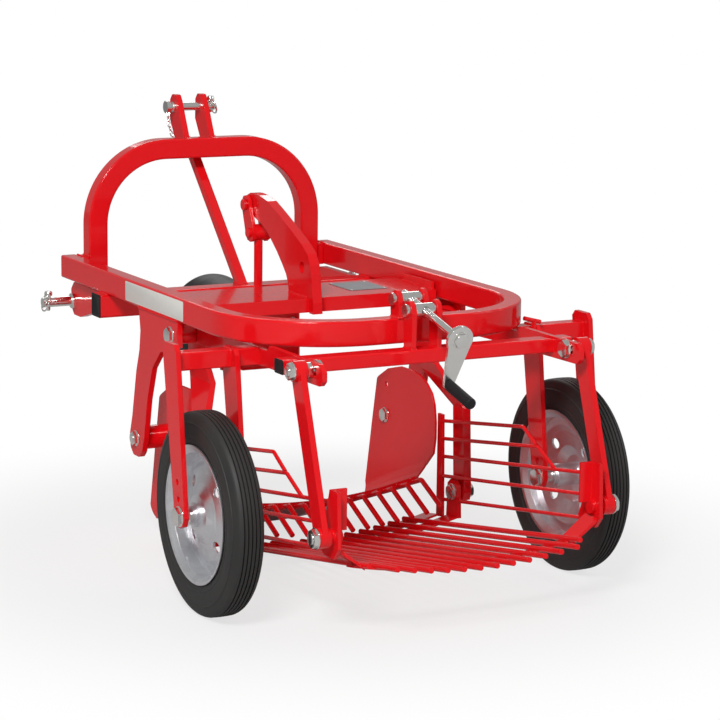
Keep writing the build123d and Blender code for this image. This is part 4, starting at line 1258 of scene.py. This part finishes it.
def unit_chain_link():
    """One closed link, long along Z."""
    straight, bend = (LINK_LENGTH - LINK_WIDTH) / 2, LINK_WIDTH / 2 - LINK_WIRE
    points = []
    for end in (1, -1):
        for step in range(7):
            angle = math.pi * step / 6
            points.append((end * bend * math.cos(angle), 0.0, end * (straight + bend * math.sin(angle))))
    link = closed_wire("unit_link", points, LINK_WIRE, zinc)
    link.hide_render = True
    return link


def chain_recipe():
    """Links along a line, every second one turned by a quarter."""
    kit = recipe("chain", (("Link", "NodeSocketObject"), ("Pitch", "NodeSocketFloat"),
                           ("Plating", "NodeSocketMaterial")))
    tree, _, wires = kit
    points = points_along(tree, wires["Geometry"], wires["Pitch"])
    shape = add_node(tree, "GeometryNodeObjectInfo", None, {"Object": wires["Link"]}, "Geometry")
    index = add_node(tree, "GeometryNodeInputIndex")
    odd = index.maths("MODULO", index, 2.0)
    quarter = add_node(tree, "FunctionNodeAxisAngleToRotation", None,
                       {"Axis": UPWARDS, "Angle": odd * (math.pi / 2) + LINK_TWIST})
    turn = add_node(tree, "FunctionNodeRotateRotation", {"rotation_space": "LOCAL"},
                    {"Rotation": points.also("Rotation"), "Rotate By": quarter})
    close_recipe(tree, copies_on(tree, points, shape, Rotation=turn), wires["Plating"])
    return kit


# %% Hang the chain
BOW_FORWARD, BOW_ASIDE = 6.3, 3.0       # how far the hanging chain bows out at its middle
CHAIN_HEAD = (4, -6, -16)               # its first link, from the middle of the top pin's left end
CHAIN_FOOT = (8, 4, -22)                # its last, from that end, the arch's rear face and its top
CHAIN_STEPS = 24


def chain_line():
    """Points from the top pin's head down to the arch."""
    low, high = box_mm("top_link_pin")
    _, arch_high = box_mm("headstock_arch")
    start = Vector((low.x, (low.y + high.y) / 2, (low.z + high.z) / 2)) + Vector(CHAIN_HEAD)
    end = Vector((low.x, arch_high.y, arch_high.z)) + Vector(CHAIN_FOOT)
    points = []
    for step in range(CHAIN_STEPS + 1):
        t = step / CHAIN_STEPS
        place = start.lerp(end, t)
        place.y += BOW_FORWARD * 4 * t * (1 - t)
        place.x -= BOW_ASIDE * math.sin(math.pi * t)
        points.append(place)
    return points


def hang_chain():
    """The chain between the top pin and the arch."""
    seed = seed_mesh("chain_line", chain_line(), [(k, k + 1) for k in range(CHAIN_STEPS)])
    chain = grow("pin_chain", seed, chain_recipe(),
                 {"Link": unit_chain_link(), "Pitch": LINK_PITCH * MM, "Plating": zinc})
    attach(chain, "root")
    print("chain", len(chain.data.polygons), "faces")


hang_chain()

# %% [markdown]
# ## Blank plate and blank label
# The channel carries a small riveted metal plate, and the left rail a long printed film. Both are left
# blank. Each is a thin stack with round corners, because even a film's edge catches light. Colour alone
# on the rail would have no edge at all.

# %% Plate and rivets
SHEET_CORNER = 3.0
PLATE_MIDDLE, PLATE_HALF, PLATE_T = (160.0, 475.0), (45.0, 52.0), 1.0
RIVET_IN = 5.0          # from the plate's edges
RIVET = [(2.6, 0.0), (2.4, 0.7), (1.6, 1.3), (0.01, 1.5)]     # radius and height


def thin_sheet(name, place, axes, half_w, half_h, thickness, material):
    """A thin sheet with round corners and a slightly bevelled edge."""
    levels = ((half_w, half_h, SHEET_CORNER, 0.0), (half_w, half_h, SHEET_CORNER, thickness * 0.6),
              (half_w - 0.3, half_h - 0.3, SHEET_CORNER, thickness))
    return stacked(name, levels, place, axes, material)


def make_plate():
    """The blank plate on the channel, with a rivet at each corner."""
    roof = channel_roof()
    place, axes = (*PLATE_MIDDLE, roof), (RIGHTWARDS, FORWARDS, UPWARDS)
    plate = thin_sheet("blank_plate", place, axes, *PLATE_HALF, PLATE_T, plate_metal)
    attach(plate, "rocker")
    (x, y), (half_x, half_y) = PLATE_MIDDLE, PLATE_HALF
    corners = [(x + sx * (half_x - RIVET_IN), y + sy * (half_y - RIVET_IN), roof + 0.9 * PLATE_T)
               for sx in (-1, 1) for sy in (-1, 1)]
    rivets = [turned_upright(f"rivet_{k}", RIVET, corner, zinc, steps=20)
              for k, corner in enumerate(corners)]
    whole = joined("plate_rivets", rivets)
    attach(whole, "rocker")
    print("plate with", len(corners), "rivets")


make_plate()

# %% Label on the left rail
LABEL_Y, LABEL_HALF_H, LABEL_T = (284.0, 588.0), 20.5, 0.35


def make_label():
    """The blank film on the outside of the left rail."""
    low, _ = box_mm("main_u_frame")
    middle = (low.x, sum(LABEL_Y) / 2, low.z + RAIL_HEIGHT / 2)
    half_length = (LABEL_Y[1] - LABEL_Y[0]) / 2
    axes = (FORWARDS, UPWARDS, LEFTWARDS)
    label = thin_sheet("blank_label", middle, axes, half_length, LABEL_HALF_H, LABEL_T, white_vinyl)
    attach(label, "root")
    print("label", 2 * half_length, "mm long")


make_label()

# %% [markdown]
# ## The floor
# The background is a plain pale floor that runs out of sight. More lamps could make it white, but they
# would bleach the paint. So the floor near the machine is a real pale surface that takes its shadow, and
# further out the camera sees plain white. In mirrors the floor is a little darker, as it is under a real
# machine.

# %% Floor
FLOOR_HALF = 60.0
FLOOR_MIDDLE_Y = 0.33
FLOOR_GREY = 0.68
FADE_FROM, FADE_TO = 0.55, 1.25     # the floor turns white between these distances, in metres
NEAR_WHITE = 0.72        # share of plain white that the camera sees in the floor beside the machine
MIRROR_DARKENING, MIRROR_DARK = 0.3, 0.10


def glow(tree, strength):
    """White light of one strength from a surface."""
    return add_node(tree, "ShaderNodeEmission", None, {"Color": (1, 1, 1, 1), "Strength": strength})


def mirrored_ray(camera_ray):
    """1 where a shiny surface looks, 0 for the camera itself."""
    return camera_ray.also("Is Glossy Ray") * (1 - camera_ray)


def floor_finish():
    """Pale floor that the camera sees fade to plain white."""
    material, tree, shader = new_finish("pale_floor")
    set_sockets(tree, shader, {"Base Color": (FLOOR_GREY, FLOOR_GREY, FLOOR_GREY, 1.0), "Roughness": 0.9,
                               "Specular IOR Level": 0.1})
    camera_ray = add_node(tree, "ShaderNodeLightPath", output="Is Camera Ray")
    across = add_node(tree, "ShaderNodeSeparateXYZ", None, {"Vector": object_place(tree)})
    along = across.also("Y") - FLOOR_MIDDLE_Y
    radius = (across * across + along * along) ** 0.5
    fade = add_node(tree, "ShaderNodeMapRange", {"interpolation_type": "SMOOTHSTEP"},
                    {"Value": radius, "From Min": FADE_FROM, "From Max": FADE_TO, "To Min": NEAR_WHITE,
                     "To Max": 1.0})
    dimmed = add_node(tree, "ShaderNodeMixShader", None, {
        0: mirrored_ray(camera_ray) * MIRROR_DARKENING,
        1: Wire(tree, shader.outputs[0]), 2: glow(tree, MIRROR_DARK)})
    both = add_node(tree, "ShaderNodeMixShader", None, {0: camera_ray * fade, 1: dimmed, 2: glow(tree, 1.0)})
    set_sockets(tree, tree.nodes["Material Output"], {"Surface": both})
    return material


def make_floor():
    """One large square, which belongs to the stage and not to the machine."""
    mesh = bpy.data.meshes.new("floor")
    corners = [(x * FLOOR_HALF, y * FLOOR_HALF, 0) for x, y in ((-1, -1), (1, -1), (1, 1), (-1, 1))]
    mesh.from_pydata(corners, [], [(0, 1, 2, 3)])
    mesh.materials.append(floor_finish())
    floor = new_object("floor", mesh)
    print("floor", 2 * FLOOR_HALF, "m wide")


make_floor()

# %% [markdown]
# ## Sky and lamps
# The sky is white to the camera only. In mirrors it is much darker, as the walls of a studio are, so the
# paint keeps its full red and the zinc gets its contrast. One large lamp models the shapes, a weaker one
# fills the other side, and a long one behind the machine draws its upper edges.

# %% Sky and lamps
SKY_TO_CAMERA, SKY_ON_SURFACES, SKY_IN_MIRRORS = 1.0, 0.30, 0.36
LAMPS = (
    # name, place, target, size, watts
    ("key", (-3.2, -3.6, 4.4), (0.0, 0.3, 0.4), (1.7, 1.3), 310.0),
    ("fill", (4.5, -1.5, 2.6), (0.0, 0.3, 0.4), (2.0, 2.0), 36.0),
    ("rim", (2.4, 5.6, 3.4), (0.0, 0.3, 0.5), (3.4, 1.2), 60.0),
)


def make_sky():
    """White to the camera, dimmer on surfaces and in mirrors."""
    world = bpy.data.worlds.new("studio")
    scene.world = world
    world.use_nodes = True
    tree = world.node_tree
    camera_ray = add_node(tree, "ShaderNodeLightPath", output="Is Camera Ray")
    strength = (SKY_ON_SURFACES + (SKY_TO_CAMERA - SKY_ON_SURFACES) * camera_ray
                + (SKY_IN_MIRRORS - SKY_ON_SURFACES) * mirrored_ray(camera_ray))
    set_sockets(tree, tree.nodes["Background"], {"Color": (1, 1, 1, 1), "Strength": strength})


def area_lamp(name, place, target, size, power):
    """A rectangular lamp that faces its target."""
    lamp = bpy.data.lights.new(name, "AREA")
    lamp.shape = "RECTANGLE"
    lamp.size, lamp.size_y = size
    lamp.energy = power
    holder = new_object(name, lamp)
    holder.location = place
    holder.rotation_euler = (Vector(target) - Vector(place)).to_track_quat("-Z", "Y").to_euler()


make_sky()
for row in LAMPS:
    area_lamp(*row)
print("lamps", len(LAMPS))

# %% [markdown]
# ## Clearing up
# The unit shapes were only patterns for the copies, so they are removed.

# %% Finish
for pattern in ("unit_nut", "unit_head", "unit_link"):
    bpy.data.objects.remove(bpy.data.objects[pattern])
